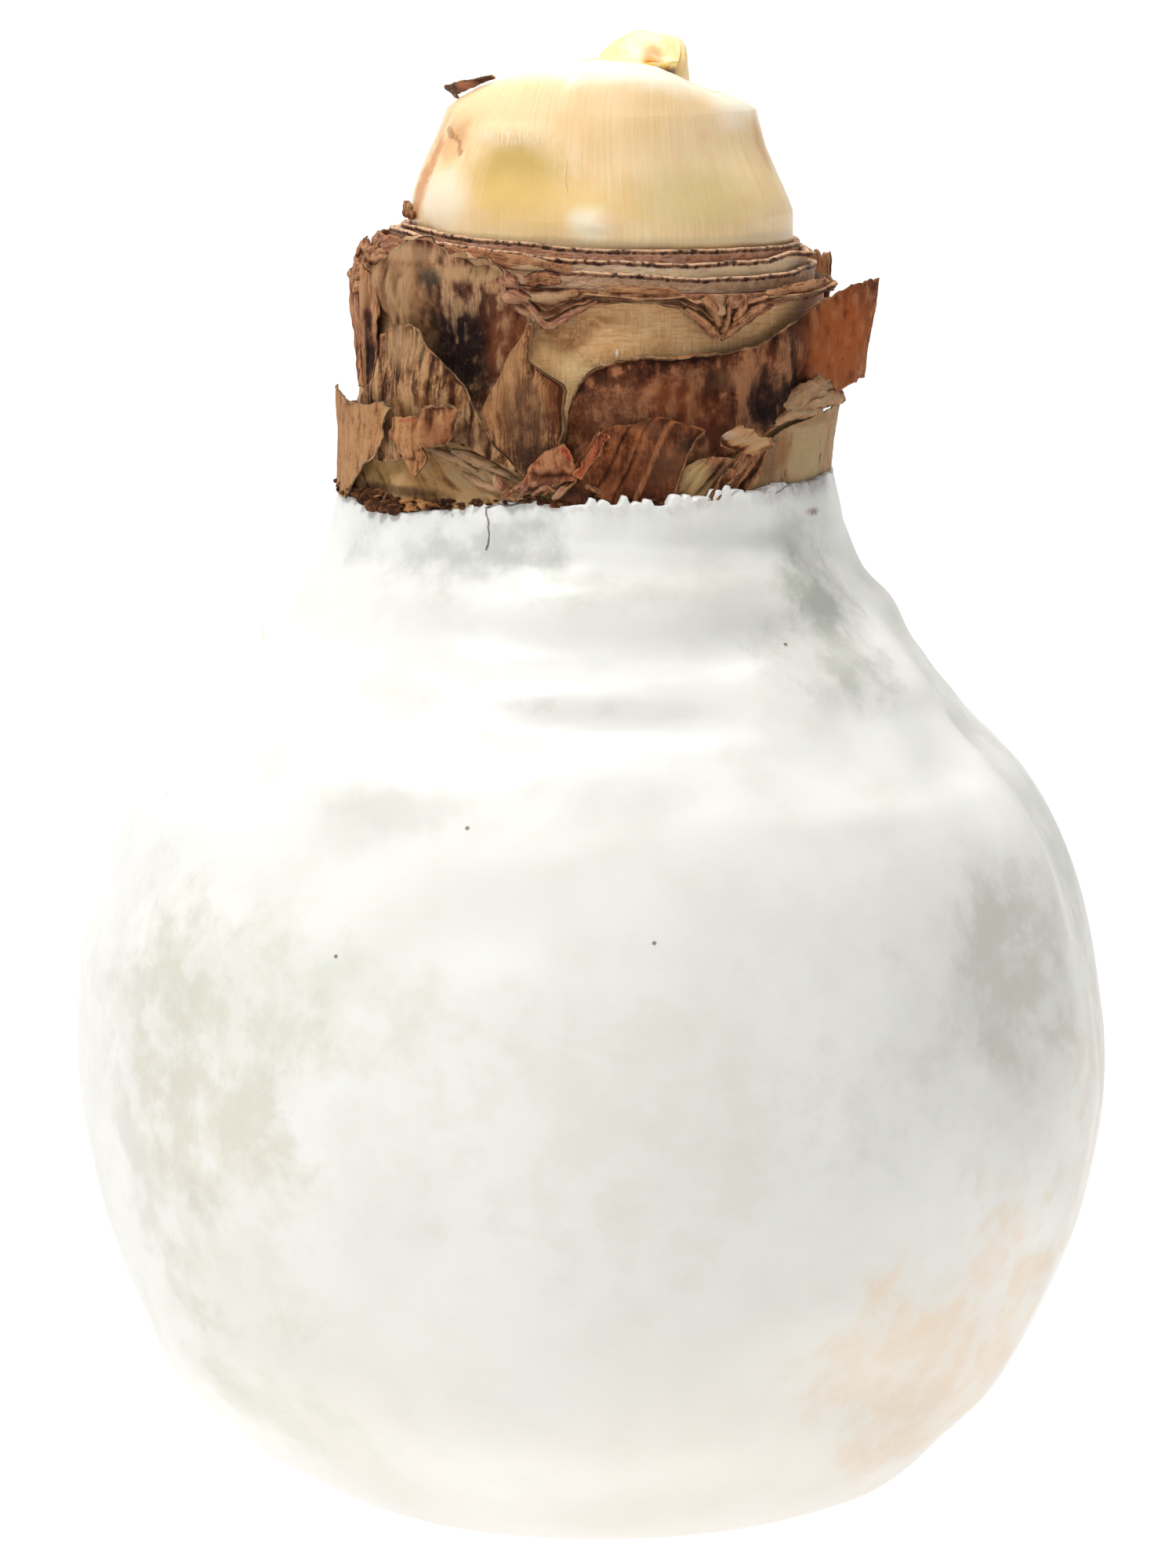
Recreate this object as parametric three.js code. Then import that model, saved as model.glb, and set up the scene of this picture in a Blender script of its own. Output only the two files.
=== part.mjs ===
// A waxed amaryllis bulb: a flower bulb with its neck cut across, dipped in white wax up to the neck,
// so that it flowers with no pot. Millimetres, +Z up. The origin is the middle of the flat spot the
// wax rests on. Angles run round the neck from the front (-Y) towards the right (+X).
import * as THREE from "three";

// Driving dimensions
const floorSpot = 18.5; // radius of the flat spot under the wax
const waxWall = 2.0; // thickness of the wax on the round body
const waxGap = 0.35; // gap kept between the wax and the bulb
const clear = 0.3; // gap kept between other touching pieces
const paper = 0.6; // thickness of a dry papery skin
const layer = paper + clear; // one level of dry skin, with its gap
const rimHeight = 110.3; // mean height of the wax edge round the neck
const neckFoot = 103.5; // height where the neck leaves the round body
const scaleCount = 4;
const scaleWall = 0.7; // mean thickness of a neck scale
const scaleShift = 0.1; // a neck scale is thicker on the left and thinner on the right by this much
const columnsRound = 48;
const coreRows = 10; // rows up the hidden faces of the wax and the bulb

// The neck's outside narrows and moves to the right as it rises.
const neckLow = { height: 108, radius: 25.0, centre: -1.25 };
const neckHigh = { height: 134, radius: 24.0, centre: -0.3 };

// Half-widths of the waxed body on its left and right sides, at heights above the floor.
const bodyStations = [
  { height: 0, left: floorSpot, right: floorSpot },
  { height: 0.9, left: 23.6, right: 24.2 },
  { height: 4, left: 30.9, right: 32.0 },
  { height: 9, left: 38.6, right: 37.6 },
  { height: 15, left: 45.4, right: 43.0 },
  { height: 24, left: 49.8, right: 47.9 },
  { height: 36, left: 53.5, right: 52.1 },
  { height: 48, left: 55.5, right: 53.8 },
  { height: 60, left: 55.0, right: 52.7 },
  { height: 70, left: 51.9, right: 50.2 },
  { height: 78, left: 48.8, right: 46.0 },
  { height: 85, left: 43.1, right: 39.6 },
  { height: 92, left: 36.9, right: 34.2 },
  { height: 98, left: 32.4, right: 29.6 },
  { height: 104, left: 29.3, right: 26.5 },
  { height: 110.6, left: 27.7, right: 25.0 },
];

// Dents and swellings of the wax: place round and up the body, spread each way, and rise.
const waxLumps = [
  { angle: 8, height: 100.5, round: 36, up: 2.8, rise: 0.9 },
  { angle: 15, height: 96.0, round: 38, up: 2.8, rise: -0.9 },
  { angle: 2, height: 91.5, round: 17, up: 2.0, rise: 0.7 },
  { angle: -4, height: 88.2, round: 17, up: 2.2, rise: -0.8 },
  { angle: -10, height: 83.5, round: 28, up: 3.2, rise: 0.9 },
  { angle: -50, height: 85.5, round: 12, up: 3.0, rise: 1.0 },
  { angle: -32, height: 81.5, round: 10, up: 3.0, rise: 0.8 },
  { angle: -33, height: 76.0, round: 10, up: 3.4, rise: -0.9 },
  { angle: -52, height: 54.0, round: 12, up: 8.0, rise: -1.5 },
  { angle: -36, height: 60.0, round: 14, up: 4.0, rise: -0.7 },
  { angle: -10, height: 62.5, round: 8, up: 3.5, rise: 0.6 },
  { angle: 52, height: 60.0, round: 9, up: 8.0, rise: -1.7 },
  { angle: 66, height: 74.0, round: 5, up: 22.0, rise: 1.2 },
  { angle: 78, height: 76.0, round: 7, up: 18.0, rise: -0.9 },
  { angle: 38, height: 18.5, round: 10, up: 5.0, rise: -1.1 },
  { angle: 50, height: 9.5, round: 10, up: 4.0, rise: 1.1 },
  { angle: -43, height: 14.5, round: 14, up: 6.0, rise: -1.2 },
  { angle: -63, height: 20.0, round: 11, up: 6.0, rise: 0.7 },
  { angle: -15, height: 18.0, round: 15, up: 9.0, rise: 0.8 },
  { angle: 70, height: 31.0, round: 4, up: 10.0, rise: 0.9 },
  { angle: 79, height: 28.0, round: 4, up: 9.0, rise: -0.8 },
  { angle: 88, height: 97.0, round: 12, up: 2.4, rise: 0.8 },
  { angle: -86, height: 95.5, round: 10, up: 2.2, rise: 0.7 },
  { angle: 118, height: 58.0, round: 13, up: 10.0, rise: -1.3 },
  { angle: 140, height: 84.0, round: 22, up: 3.4, rise: 0.9 },
  { angle: 150, height: 30.0, round: 16, up: 9.0, rise: 0.9 },
  { angle: 172, height: 68.0, round: 12, up: 9.0, rise: -1.2 },
  { angle: 176, height: 96.0, round: 34, up: 2.8, rise: -0.8 },
  { angle: 180, height: 101.0, round: 40, up: 2.6, rise: 0.8 },
  { angle: 200, height: 44.0, round: 12, up: 12.0, rise: 1.0 },
  { angle: 214, height: 80.0, round: 14, up: 5.0, rise: -1.0 },
  { angle: 236, height: 62.0, round: 11, up: 9.0, rise: 0.9 },
  { angle: 246, height: 26.0, round: 12, up: 7.0, rise: -1.2 },
  { angle: 132, height: 13.0, round: 14, up: 5.0, rise: -1.0 },
];

const radians = THREE.MathUtils.degToRad;
const lerp = THREE.MathUtils.lerp;
const smooth = THREE.MathUtils.smoothstep;

// A repeatable stream of numbers from 0 to 1.
function randomStream(seed) {
  let state = seed;
  return () => {
    state = (state * 1664525 + 1013904223) % 4294967296;
    return state / 4294967296;
  };
}

// A smooth uneven wave between about -1 and 1. Each seed gives another one.
function wave(x, seed) {
  return (
    0.5 * Math.sin(1.7 * x + 1.3 * seed) +
    0.3 * Math.sin(3.9 * x + 2.1 * seed) +
    0.2 * Math.sin(7.3 * x + 0.7 * seed)
  );
}

// The shorter way round from one angle to another, in degrees.
function turnBetween(a, b) {
  return ((((a - b + 180) % 360) + 360) % 360) - 180;
}

// ---------- The round body ----------

const sideCurve = (side) =>
  new THREE.SplineCurve(bodyStations.map((s) => new THREE.Vector2(s[side], s.height)));
const leftSide = sideCurve("left");
const rightSide = sideCurve("right");

// The wax surface at a share t of the way from the floor spot to the rim, before its lumps.
function bodyOutline(angle, t) {
  const share = (1 + Math.sin(radians(angle))) / 2;
  return leftSide.getPoint(t).lerp(rightSide.getPoint(t), share);
}

function lumpAt(angle, height) {
  const fade = smooth(height, 2, 9);
  let rise = 0;
  for (const lump of waxLumps) {
    const round = turnBetween(angle, lump.angle) / lump.round;
    const up = (height - lump.height) / lump.up;
    rise += lump.rise * Math.exp(-round * round - up * up);
  }
  return rise * fade;
}

// A point under the wax surface, by a depth measured square to it. The bulb inside is less lumpy.
function bodyPoint(angle, t, depth) {
  const here = bodyOutline(angle, t);
  const ahead = bodyOutline(angle, Math.min(1, t + 0.01));
  const behind = bodyOutline(angle, Math.max(0, t - 0.01));
  const along = ahead.sub(behind).normalize();
  const outwards = new THREE.Vector2(along.y, -along.x);
  const rise = lumpAt(angle, here.y) * (depth > 0 ? 0.6 : 1) - depth;
  const spot = outwards.multiplyScalar(rise).add(here);
  return around(angle, spot.x, spot.y);
}

function around(angle, radius, height, centreX = 0, centreY = 0) {
  return new THREE.Vector3(
    centreX + radius * Math.sin(radians(angle)),
    centreY - radius * Math.cos(radians(angle)),
    height,
  );
}

// ---------- The neck ----------

const neckShare = (height) => (height - neckLow.height) / (neckHigh.height - neckLow.height);
const neckRadius = (height) => lerp(neckLow.radius, neckHigh.radius, neckShare(height));
const neckCentre = (height) => lerp(neckLow.centre, neckHigh.centre, neckShare(height));

// A point so far off the neck's outside.
function neckPoint(angle, standOff, height) {
  return around(angle, neckRadius(height) + standOff, height, neckCentre(height));
}

// A point on the outside of the fleshy neck or of a scale, so many scales in from the neck's outside.
function scalePoint(angle, scalesIn, inset, height) {
  const radius = neckRadius(height) - scalesIn * (scaleWall + clear) - inset;
  return around(angle, radius, height, neckCentre(height) + scalesIn * scaleShift);
}

// Height of the ragged wax edge, which dips at the front left.
function rimAt(angle) {
  const turn = radians(angle);
  const dip = Math.exp(-((turnBetween(angle, -48) / 22) ** 2));
  return rimHeight + 0.9 * Math.sin(turn) - 0.2 * Math.cos(turn) - dip + 0.25 * wave(4 * turn, 3);
}

// ---------- Closed surfaces from rings and from rails ----------

function geometryFrom(points, triangles) {
  const geometry = new THREE.BufferGeometry().setFromPoints(points);
  geometry.setIndex(triangles);
  geometry.computeVertexNormals();
  return geometry;
}

// Rings of points stacked into one closed skin, each ring seen from above running anticlockwise.
// With loop, the last ring joins the first; otherwise each end is flat and round, and is closed.
function ringSolid(rings, loop = false) {
  const columns = rings[0].length;
  const points = rings.flat();
  const triangles = [];
  const strips = loop ? rings.length : rings.length - 1;
  for (let row = 0; row < strips; row += 1) {
    const lower = row * columns;
    const upper = ((row + 1) % rings.length) * columns;
    for (let i = 0; i < columns; i += 1) {
      const next = (i + 1) % columns;
      triangles.push(lower + i, lower + next, upper + next);
      triangles.push(lower + i, upper + next, upper + i);
    }
  }
  if (!loop) {
    const last = (rings.length - 1) * columns;
    for (let i = 1; i < columns - 1; i += 1) {
      triangles.push(0, i + 1, i);
      triangles.push(last, last + i, last + i + 1);
    }
  }
  return geometryFrom(points, triangles);
}

function ring(columns, pointAt) {
  return Array.from({ length: columns }, (_, i) => pointAt((i * 360) / columns));
}

// A curve through [angle, height, lift] points, read at a share from 0 to 1.
const railThrough = (points) =>
  new THREE.CatmullRomCurve3(points.map((p) => new THREE.Vector3(...p)), false, "catmullrom", 0.5);

// A thin sheet of dry skin stretched between two rails, so many levels up from the neck.
// Lift is how far it stands off its level, bulge how far its middle swells, crown how far the
// middle of its far edge rises, and ragged how torn its edges are. Its foot is the edge that
// starts on the wax: the start of both rails, or the whole first rail.
function sheetGeometry(sheet) {
  const { level = 1, bulge = 0, crown = 0, ragged = 0.5, seed = 1, columns = 8, rows = 7 } = sheet;
  const first = railThrough(sheet.first);
  const second = railThrough(sheet.second);
  const footGap = 0.6;
  const toWax = (foot) => rimAt(foot.x) + footGap - foot.y;
  const surface = (tearing) => (u, v) => {
    const spot = first.getPoint(v).lerp(second.getPoint(v), u);
    let [angle, height, lift] = spot.toArray();
    const middle = 4 * u * (1 - u);
    lift += bulge * middle * Math.sin(Math.PI * v ** 1.3);
    const torn = tearing * (0.35 + 0.65 * v);
    angle += 2.0 * torn * Math.abs(2 * u - 1) ** 3 * wave(7 * v + u, seed + 4);
    height += torn * v ** 4 * wave(9 * u, seed) + crown * middle * v ** 3;
    if (sheet.foot === "start") {
      height += (1 - v) * toWax(first.getPoint(0).lerp(second.getPoint(0), u));
    }
    if (sheet.foot === "first") height += (1 - u) * toWax(first.getPoint(v));
    return neckPoint(angle, clear + (level - 1) * layer + Math.max(0, lift), height);
  };
  return bladeGeometry(surface(ragged), surface(0), columns, rows, paper);
}

// A closed blade: an inner face, and an outer face a thickness away. The offset leans half way from
// square to the untorn sheet towards straight out of the neck.
function bladeGeometry(inner, untorn, columns, rows, thickness) {
  const step = 0.02;
  const points = [];
  const offsets = [];
  const normalAt = (u, v) => {
    const across = untorn(Math.min(1, u + step), v).sub(untorn(Math.max(0, u - step), v));
    const along = untorn(u, Math.min(1, v + step)).sub(untorn(u, Math.max(0, v - step)));
    return across.cross(along).normalize();
  };
  const outwards = (point) => new THREE.Vector3(point.x, point.y, 0).normalize();
  const sense = Math.sign(normalAt(0.5, 0.5).dot(outwards(untorn(0.5, 0.5))));
  for (let j = 0; j <= rows; j += 1) {
    for (let i = 0; i <= columns; i += 1) {
      const point = inner(i / columns, j / rows);
      const normal = normalAt(i / columns, j / rows).multiplyScalar(sense);
      const offset = outwards(point).add(normal).normalize();
      points.push(point);
      offsets.push(offset.multiplyScalar(thickness / offset.dot(normal)));
    }
  }
  const count = points.length;
  for (let k = 0; k < count; k += 1) points.push(points[k].clone().add(offsets[k]));
  const triangles = [];
  const quad = (a, b, c, d) => {
    if (sense > 0) triangles.push(a, b, c, a, c, d);
    else triangles.push(a, c, b, a, d, c);
  };
  const wide = columns + 1;
  for (let j = 0; j < rows; j += 1) {
    for (let i = 0; i < columns; i += 1) {
      const a = j * wide + i;
      quad(count + a, count + a + 1, count + a + wide + 1, count + a + wide);
      quad(a + wide, a + wide + 1, a + 1, a);
    }
  }
  for (let i = 0; i < columns; i += 1) {
    const top = rows * wide + i;
    quad(i, i + 1, count + i + 1, count + i);
    quad(top + 1, top, count + top, count + top + 1);
  }
  for (let j = 0; j < rows; j += 1) {
    const left = j * wide;
    const right = left + columns;
    quad(left + wide, left, count + left, count + left + wide);
    quad(right, right + wide, count + right + wide, count + right);
  }
  return geometryFrom(points, triangles);
}

// ---------- Materials ----------

const finish = (color, roughness) => new THREE.MeshStandardMaterial({ color, roughness, metalness: 0 });
const whiteWax = finish(0xf1f0ec, 0.3);
const paleFlesh = finish(0xe9d9a6, 0.45);
const leafSkin = finish(0xe0bf62, 0.5);
const scaleSkin = finish(0xc4a878, 0.6);
const brownPaper = finish(0x7a5238, 0.75);
const tanPaper = finish(0xa98560, 0.75);
const redPaper = finish(0x8a4b2e, 0.7);

const bulb = new THREE.Group();
function add(name, geometry, material) {
  const mesh = new THREE.Mesh(geometry, material);
  mesh.name = name;
  bulb.add(mesh);
}

// ---------- Wax coat ----------

// Rows up the coat are spaced along its outline, and the last tenth of them reaches for the ragged
// rim. The inside follows the outside at the wall's depth.
function waxCoat() {
  const outerRows = 30;
  const rimReach = 0.1;
  const outlineTop = bodyStations.at(-1).height;
  const stack = [];
  for (let row = 0; row <= outerRows; row += 1) {
    const t = row / outerRows;
    const reach = Math.max(0, (t + rimReach - 1) / rimReach);
    stack.push(
      ring(columnsRound, (angle) => {
        const point = bodyPoint(angle, t, 0);
        point.z += (rimAt(angle) - outlineTop) * reach;
        return point;
      }),
    );
  }
  const lipDrop = 0.2;
  stack.push(ring(columnsRound, (angle) => neckPoint(angle, clear, rimAt(angle) - lipDrop)));
  stack.push(ring(columnsRound, (angle) => neckPoint(angle, clear, neckFoot + 0.1)));
  for (let row = coreRows; row >= 0; row -= 1) stack.push(coreRing(row / coreRows, waxWall));
  add("wax_coat", ringSolid(stack), whiteWax);
}

// A ring of the body under the wax. It starts on a level foot and ends at the neck's foot.
const footShare = 0.075;
const shoulderShare = 0.9;
const footRise = 0.3;
function coreRing(share, depth) {
  const t = lerp(footShare, shoulderShare, share);
  return ring(columnsRound, (angle) => {
    const point = bodyPoint(angle, t, depth);
    const level = 1 - smooth(share, 0, 0.02);
    point.z = lerp(point.z, depth + footRise, level);
    return point;
  });
}

// ---------- Bulb ----------

// The stump bulges over its scales and narrows up to the shoulder of its cut.
const stumpStations = [
  { height: 138.6, radius: 20.0, centre: 0.3 },
  { height: 141, radius: 19.55, centre: 0.1 },
  { height: 145.4, radius: 18.4, centre: 0 },
  { height: 149.4, radius: 17.4, centre: 0 },
];
const stumpShoulder = stumpStations.at(-1).height;

// The stump's cut top: rings on the way from its shoulder to the inner leaves, with how far each lies
// below the crest. Low rings between high ones part the cut scales.
const cutRings = [
  { way: 0.04, drop: 0.42 },
  { way: 0.15, drop: 0.14 },
  { way: 0.3, drop: 0.0 },
  { way: 0.43, drop: 0.1 },
  { way: 0.485, drop: 0.62 },
  { way: 0.54, drop: 0.2 },
  { way: 0.7, drop: 0.16 },
  { way: 0.755, drop: 0.7 },
  { way: 0.82, drop: 0.3 },
  { way: 1, drop: 0.34 },
];
const tube = { x: 4.5, y: 2.6, radius: 5.5, top: 154.2, slant: 3.1, highSide: 155 };
const hollow = { x: 5.9, y: 1.8, radius: 1.9 };
const pitFloor = 145.5;

// Height of the cut's crest, which is highest at the front and falls away to the right and behind.
function crestAt(angle) {
  const turn = radians(angle);
  const slope = 2.15 * Math.cos(turn) - 0.7 * Math.sin(turn) + 0.8 * Math.cos(2 * turn);
  return 151.3 + slope + 0.2 * wave(2 * turn, 5);
}

function bulbBody() {
  const stack = [];
  for (let row = 0; row <= coreRows; row += 1) {
    stack.push(coreRing(row / coreRows, waxWall + waxGap));
  }
  const neckHeights = [() => neckFoot - 0.4, () => 120, (angle) => scaleTop(0, angle)];
  for (const heightAt of neckHeights) {
    stack.push(ring(columnsRound, (angle) => scalePoint(angle, scaleCount, 0, heightAt(angle))));
  }
  const overScales = { radius: 20.1, centre: 0.35, rise: 0.5 };
  stack.push(
    ring(columnsRound, (angle) =>
      around(angle, overScales.radius, scaleTop(0, angle) + overScales.rise, overScales.centre),
    ),
  );
  for (const { height, radius, centre } of stumpStations) {
    stack.push(ring(columnsRound, (angle) => stumpPoint(angle, radius, height, centre)));
  }
  const pitWall = (angle, height) => around(angle, tube.radius + clear, height, tube.x, tube.y);
  const shoulderRadius = stumpStations.at(-1).radius;
  for (const { way, drop } of cutRings) {
    stack.push(
      ring(columnsRound, (angle) => {
        const height = lerp(crestAt(angle), stumpShoulder, drop);
        return stumpPoint(angle, shoulderRadius, height).lerp(pitWall(angle, height), way);
      }),
    );
  }
  stack.push(ring(columnsRound, (angle) => pitWall(angle, pitFloor)));
  add("bulb", ringSolid(stack), paleFlesh);
}

// A point of the stump. Its sides are a little flattened.
function stumpPoint(angle, radius, height, centre = 0) {
  const flat = 1 + 0.008 * Math.cos(radians(4 * angle)) + 0.008 * wave(radians(2 * angle), 8);
  return around(angle, radius * flat, height, centre);
}

// ---------- Inner leaves in the cut ----------

// The young leaves make a tube, cut on a slant.
function leafTube() {
  const columns = 24;
  const foot = pitFloor + clear;
  const top = (angle) => {
    const turn = radians(angle - tube.highSide);
    return tube.top + tube.slant * Math.cos(turn) - 0.4 * Math.cos(3 * turn);
  };
  const at = (circle, inset, height) => (angle) =>
    around(angle, circle.radius - inset, height(angle), circle.x, circle.y);
  const rings = [
    at(tube, 0.3, () => foot),
    at(tube, 0, () => foot + 2),
    at(tube, 0.1, (angle) => top(angle) - 1.6),
    at(tube, 0.5, (angle) => top(angle) - 0.3),
    at(tube, 1.3, top),
    at(hollow, -0.4, (angle) => top(angle) - 0.5),
    at(hollow, 0, (angle) => top(angle) - 1.6),
    at(hollow, 0.3, () => foot + 1.6),
  ];
  add("leaf_tube", ringSolid(rings.map((pointAt) => ring(columns, pointAt))), leafSkin);
}

// ---------- Neck scales ----------

// The cut edges of the scales step down outwards, and stand a little higher on the left.
const scaleTops = [136.1, 135.2, 133.6, 132.0];
const scaleTop = (index, angle) =>
  scaleTops[index] - 0.9 * Math.sin(radians(angle)) + 0.28 * wave(radians(3 * angle), index + 2);

function neckScales() {
  const columns = 40;
  scaleTops.forEach((_, index) => {
    const scalesIn = scaleCount - 1 - index;
    const outside = (height) => (angle) => scalePoint(angle, scalesIn, 0, height(angle));
    const inside = (height) => (angle) => scalePoint(angle, scalesIn + 1, -clear, height(angle));
    const foot = () => neckFoot;
    const waist = () => 120;
    const top = (angle) => scaleTop(index, angle);
    const rings = [outside(foot), outside(waist), outside(top), inside(top), inside(foot)];
    add(`neck_scale_${index + 1}`, ringSolid(rings.map((p) => ring(columns, p)), true), scaleSkin);
  });
}

// The torn upper hem of the dry skin, all round under the cut edges, with a fold at the front right.
function tornHem() {
  const columns = 48;
  const top = (angle) => scaleTop(scaleCount - 1, angle) - 0.45;
  const bottom = (angle) => {
    const turn = radians(angle);
    const fold = Math.exp(-((turnBetween(angle, 30) / 6) ** 2));
    return 130.3 - 0.7 * Math.sin(turn) + 0.4 * wave(3.1 * turn, 6) - 2.0 * fold;
  };
  const outside = (height) => (angle) => neckPoint(angle, clear + paper, height(angle));
  const inside = (height) => (angle) => neckPoint(angle, clear, height(angle));
  const rings = [outside(bottom), outside(top), inside(top), inside(bottom)];
  add("torn_hem", ringSolid(rings.map((pointAt) => ring(columns, pointAt)), true), brownPaper);
}

// ---------- Dry skins and flaps ----------

// Each sheet lies between two rails of [angle, height, lift].
const frontSheets = [
  {
    name: "pale_skin",
    first: [
      [-118, 110, 0.1],
      [-90, 110, 0.1],
      [-60, 110, 0.1],
      [-35, 110, 0],
      [-12, 110, 0],
    ],
    second: [
      [-118, 117, 0.3],
      [-90, 118.2, 0.2],
      [-60, 117.5, 0.1],
      [-33, 115.8, 0],
      [-10, 112.8, 0],
    ],
    foot: "first",
    columns: 4,
    rows: 14,
    ragged: 0.4,
    seed: 17,
    material: scaleSkin,
  },
  {
    name: "hollow_skin",
    first: [
      [-32, 117.5, 0],
      [-46, 122, 0],
      [-60, 127, 0.5],
      [-65, 131, 1.1],
      [-59, 135.2, 1.2],
    ],
    second: [
      [-27, 116.8, 0],
      [-21, 121, 0],
      [-15, 126.5, 0.4],
      [-14.5, 129.4, 1.1],
      [-21, 132.8, 1.4],
    ],
    crown: 1.2,
    columns: 9,
    rows: 9,
    ragged: 0.6,
    seed: 2,
    material: brownPaper,
  },
  {
    name: "side_skin",
    first: [
      [-75, 120.5, 0.1],
      [-85, 125, 0.3],
      [-91, 129.3, 1.0],
      [-85, 132.6, 1.1],
    ],
    second: [
      [-68, 120.5, 0],
      [-67.5, 125, 0.1],
      [-69.5, 129.3, 1.0],
      [-70, 132.4, 1.1],
    ],
    crown: 0.6,
    columns: 6,
    rows: 8,
    seed: 7,
    material: brownPaper,
  },
  {
    name: "striped_flap",
    level: 2,
    first: [
      [-60, 113.4, 0],
      [-66, 118.6, 0.1],
      [-64, 123.5, 0.3],
      [-55, 127.0, 0.7],
    ],
    second: [
      [-17, 111.8, 0.1],
      [-22.5, 114.2, 0.4],
      [-30, 119.8, 0.8],
      [-45, 127.4, 1.0],
    ],
    bulge: 0.4,
    columns: 8,
    rows: 9,
    ragged: 0.4,
    seed: 3,
    material: tanPaper,
  },
  {
    name: "curled_flap",
    level: 2,
    first: [
      [-93, 110.2, 0],
      [-91.5, 114.4, 0.2],
      [-90, 119.6, 0.6],
    ],
    second: [
      [-78, 110.2, 0.2],
      [-62, 114.0, 1.1],
      [-50.5, 119.6, 2.2],
    ],
    crown: -1.0,
    foot: "start",
    columns: 8,
    rows: 8,
    ragged: 0.3,
    seed: 4,
    material: tanPaper,
  },
  {
    name: "torn_leaflet",
    level: 4,
    first: [
      [-41, 112.3, 0],
      [-45.5, 115.1, 0.1],
      [-48, 117.8, 0.2],
    ],
    second: [
      [-39, 112.3, 0.1],
      [-32, 116.3, 0.2],
      [-29, 119.4, 0.8],
    ],
    bulge: 0.4,
    columns: 7,
    rows: 7,
    ragged: 0.7,
    seed: 5,
    material: tanPaper,
  },
  {
    name: "folded_flap",
    level: 2,
    first: [
      [-13, 112.3, 0],
      [-18, 113.6, 0],
      [-23.5, 117, 0.1],
      [-24, 121.2, 0.3],
      [-20, 125.3, 0.8],
      [-16, 128.9, 1.3],
    ],
    second: [
      [-7, 112.3, 0],
      [-6.6, 115, 0.1],
      [-6.6, 118, 0.3],
      [-6.8, 121.4, 0.7],
      [-11.5, 124.3, 1.1],
      [-14.6, 128.5, 1.5],
    ],
    bulge: 1.1,
    columns: 9,
    rows: 10,
    ragged: 0.2,
    seed: 6,
    material: brownPaper,
  },
  {
    name: "wrapping_skin",
    first: [
      [-5.6, 113.2, 0],
      [0, 112.6, 0],
      [9, 112.6, 0],
      [20, 113, 0],
      [38, 114.8, 0.1],
      [54, 118.1, 0.4],
      [68, 120, 1.2],
      [77, 120.6, 2.4],
      [85, 121.4, 3.6],
    ],
    second: [
      [-5.4, 119.2, 0.1],
      [-1.0, 122.4, 0.3],
      [8.4, 124.2, 0.3],
      [19, 124.7, 0.2],
      [37.5, 124.6, 0.3],
      [54, 126.3, 0.6],
      [69, 128.8, 1.5],
      [77, 130.2, 3.2],
      [86, 130.9, 5.2],
    ],
    columns: 8,
    rows: 17,
    ragged: 0.4,
    seed: 8,
    material: brownPaper,
  },
  {
    name: "front_skin",
    level: 2,
    first: [
      [-3.5, 110, 0],
      [-2, 112.4, 0],
      [1.5, 115, 0.2],
      [4.5, 117, 0.5],
    ],
    second: [
      [20.4, 110, 0],
      [21.7, 112.6, 0.2],
      [24.5, 115, 0.5],
      [27.5, 117.2, 0.9],
    ],
    bulge: 0.3,
    crown: 1.3,
    foot: "start",
    columns: 9,
    rows: 7,
    ragged: 0.4,
    seed: 9,
    material: redPaper,
  },
  {
    name: "red_strip",
    level: 3,
    first: [
      [-3.4, 112.4, 0.1],
      [-0.2, 114.6, 0.4],
      [3.6, 117.3, 1.1],
    ],
    second: [
      [-1.6, 112.1, 0.1],
      [1.8, 114.4, 0.4],
      [5.8, 117.1, 1.1],
    ],
    columns: 2,
    rows: 6,
    ragged: 0.1,
    seed: 10,
    material: redPaper,
  },
  {
    name: "red_scrap",
    level: 3,
    first: [
      [-17, 111.4, 0],
      [-17.5, 113.4, 0.1],
      [-15, 115.2, 0.4],
    ],
    second: [
      [-9, 111.4, 0],
      [-8.8, 113.2, 0.1],
      [-10.5, 115.2, 0.4],
    ],
    bulge: 0.3,
    columns: 4,
    rows: 5,
    ragged: 0.3,
    seed: 11,
    material: redPaper,
  },
  {
    name: "corner_skin",
    level: 2,
    first: [
      [23, 110.2, 0],
      [27, 113, 0.1],
      [30, 115.5, 0.4],
    ],
    second: [
      [41, 110.8, 0],
      [43, 113, 0.1],
      [46, 115.3, 0.3],
    ],
    foot: "start",
    columns: 7,
    rows: 6,
    ragged: 0.4,
    seed: 12,
    material: brownPaper,
  },
  {
    name: "corner_sliver",
    level: 3,
    first: [
      [27, 110.2, 0.1],
      [31, 112, 0.2],
      [34, 114.2, 0.5],
    ],
    second: [
      [30, 110.2, 0.1],
      [34, 111.8, 0.2],
      [37, 113.8, 0.5],
    ],
    foot: "start",
    columns: 3,
    rows: 5,
    ragged: 0.2,
    seed: 13,
    material: tanPaper,
  },
  {
    name: "tan_curl",
    level: 3,
    first: [
      [36, 115.4, 0],
      [38, 116.6, 0.8],
      [35, 117.6, 1.6],
    ],
    second: [
      [43, 115, 0.1],
      [47, 115.8, 1.0],
      [48, 116.8, 1.9],
    ],
    bulge: 0.6,
    columns: 6,
    rows: 5,
    ragged: 0.4,
    seed: 14,
    material: tanPaper,
  },
  {
    name: "side_band",
    first: [
      [44, 110.8, 0],
      [60, 111, 0],
      [80, 111, 0],
      [97, 111, 0],
    ],
    second: [
      [44, 113.4, 0.1],
      [57, 116.2, 0.3],
      [78, 118.0, 0.9],
      [97, 118.5, 0.9],
    ],
    foot: "first",
    columns: 5,
    rows: 9,
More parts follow.
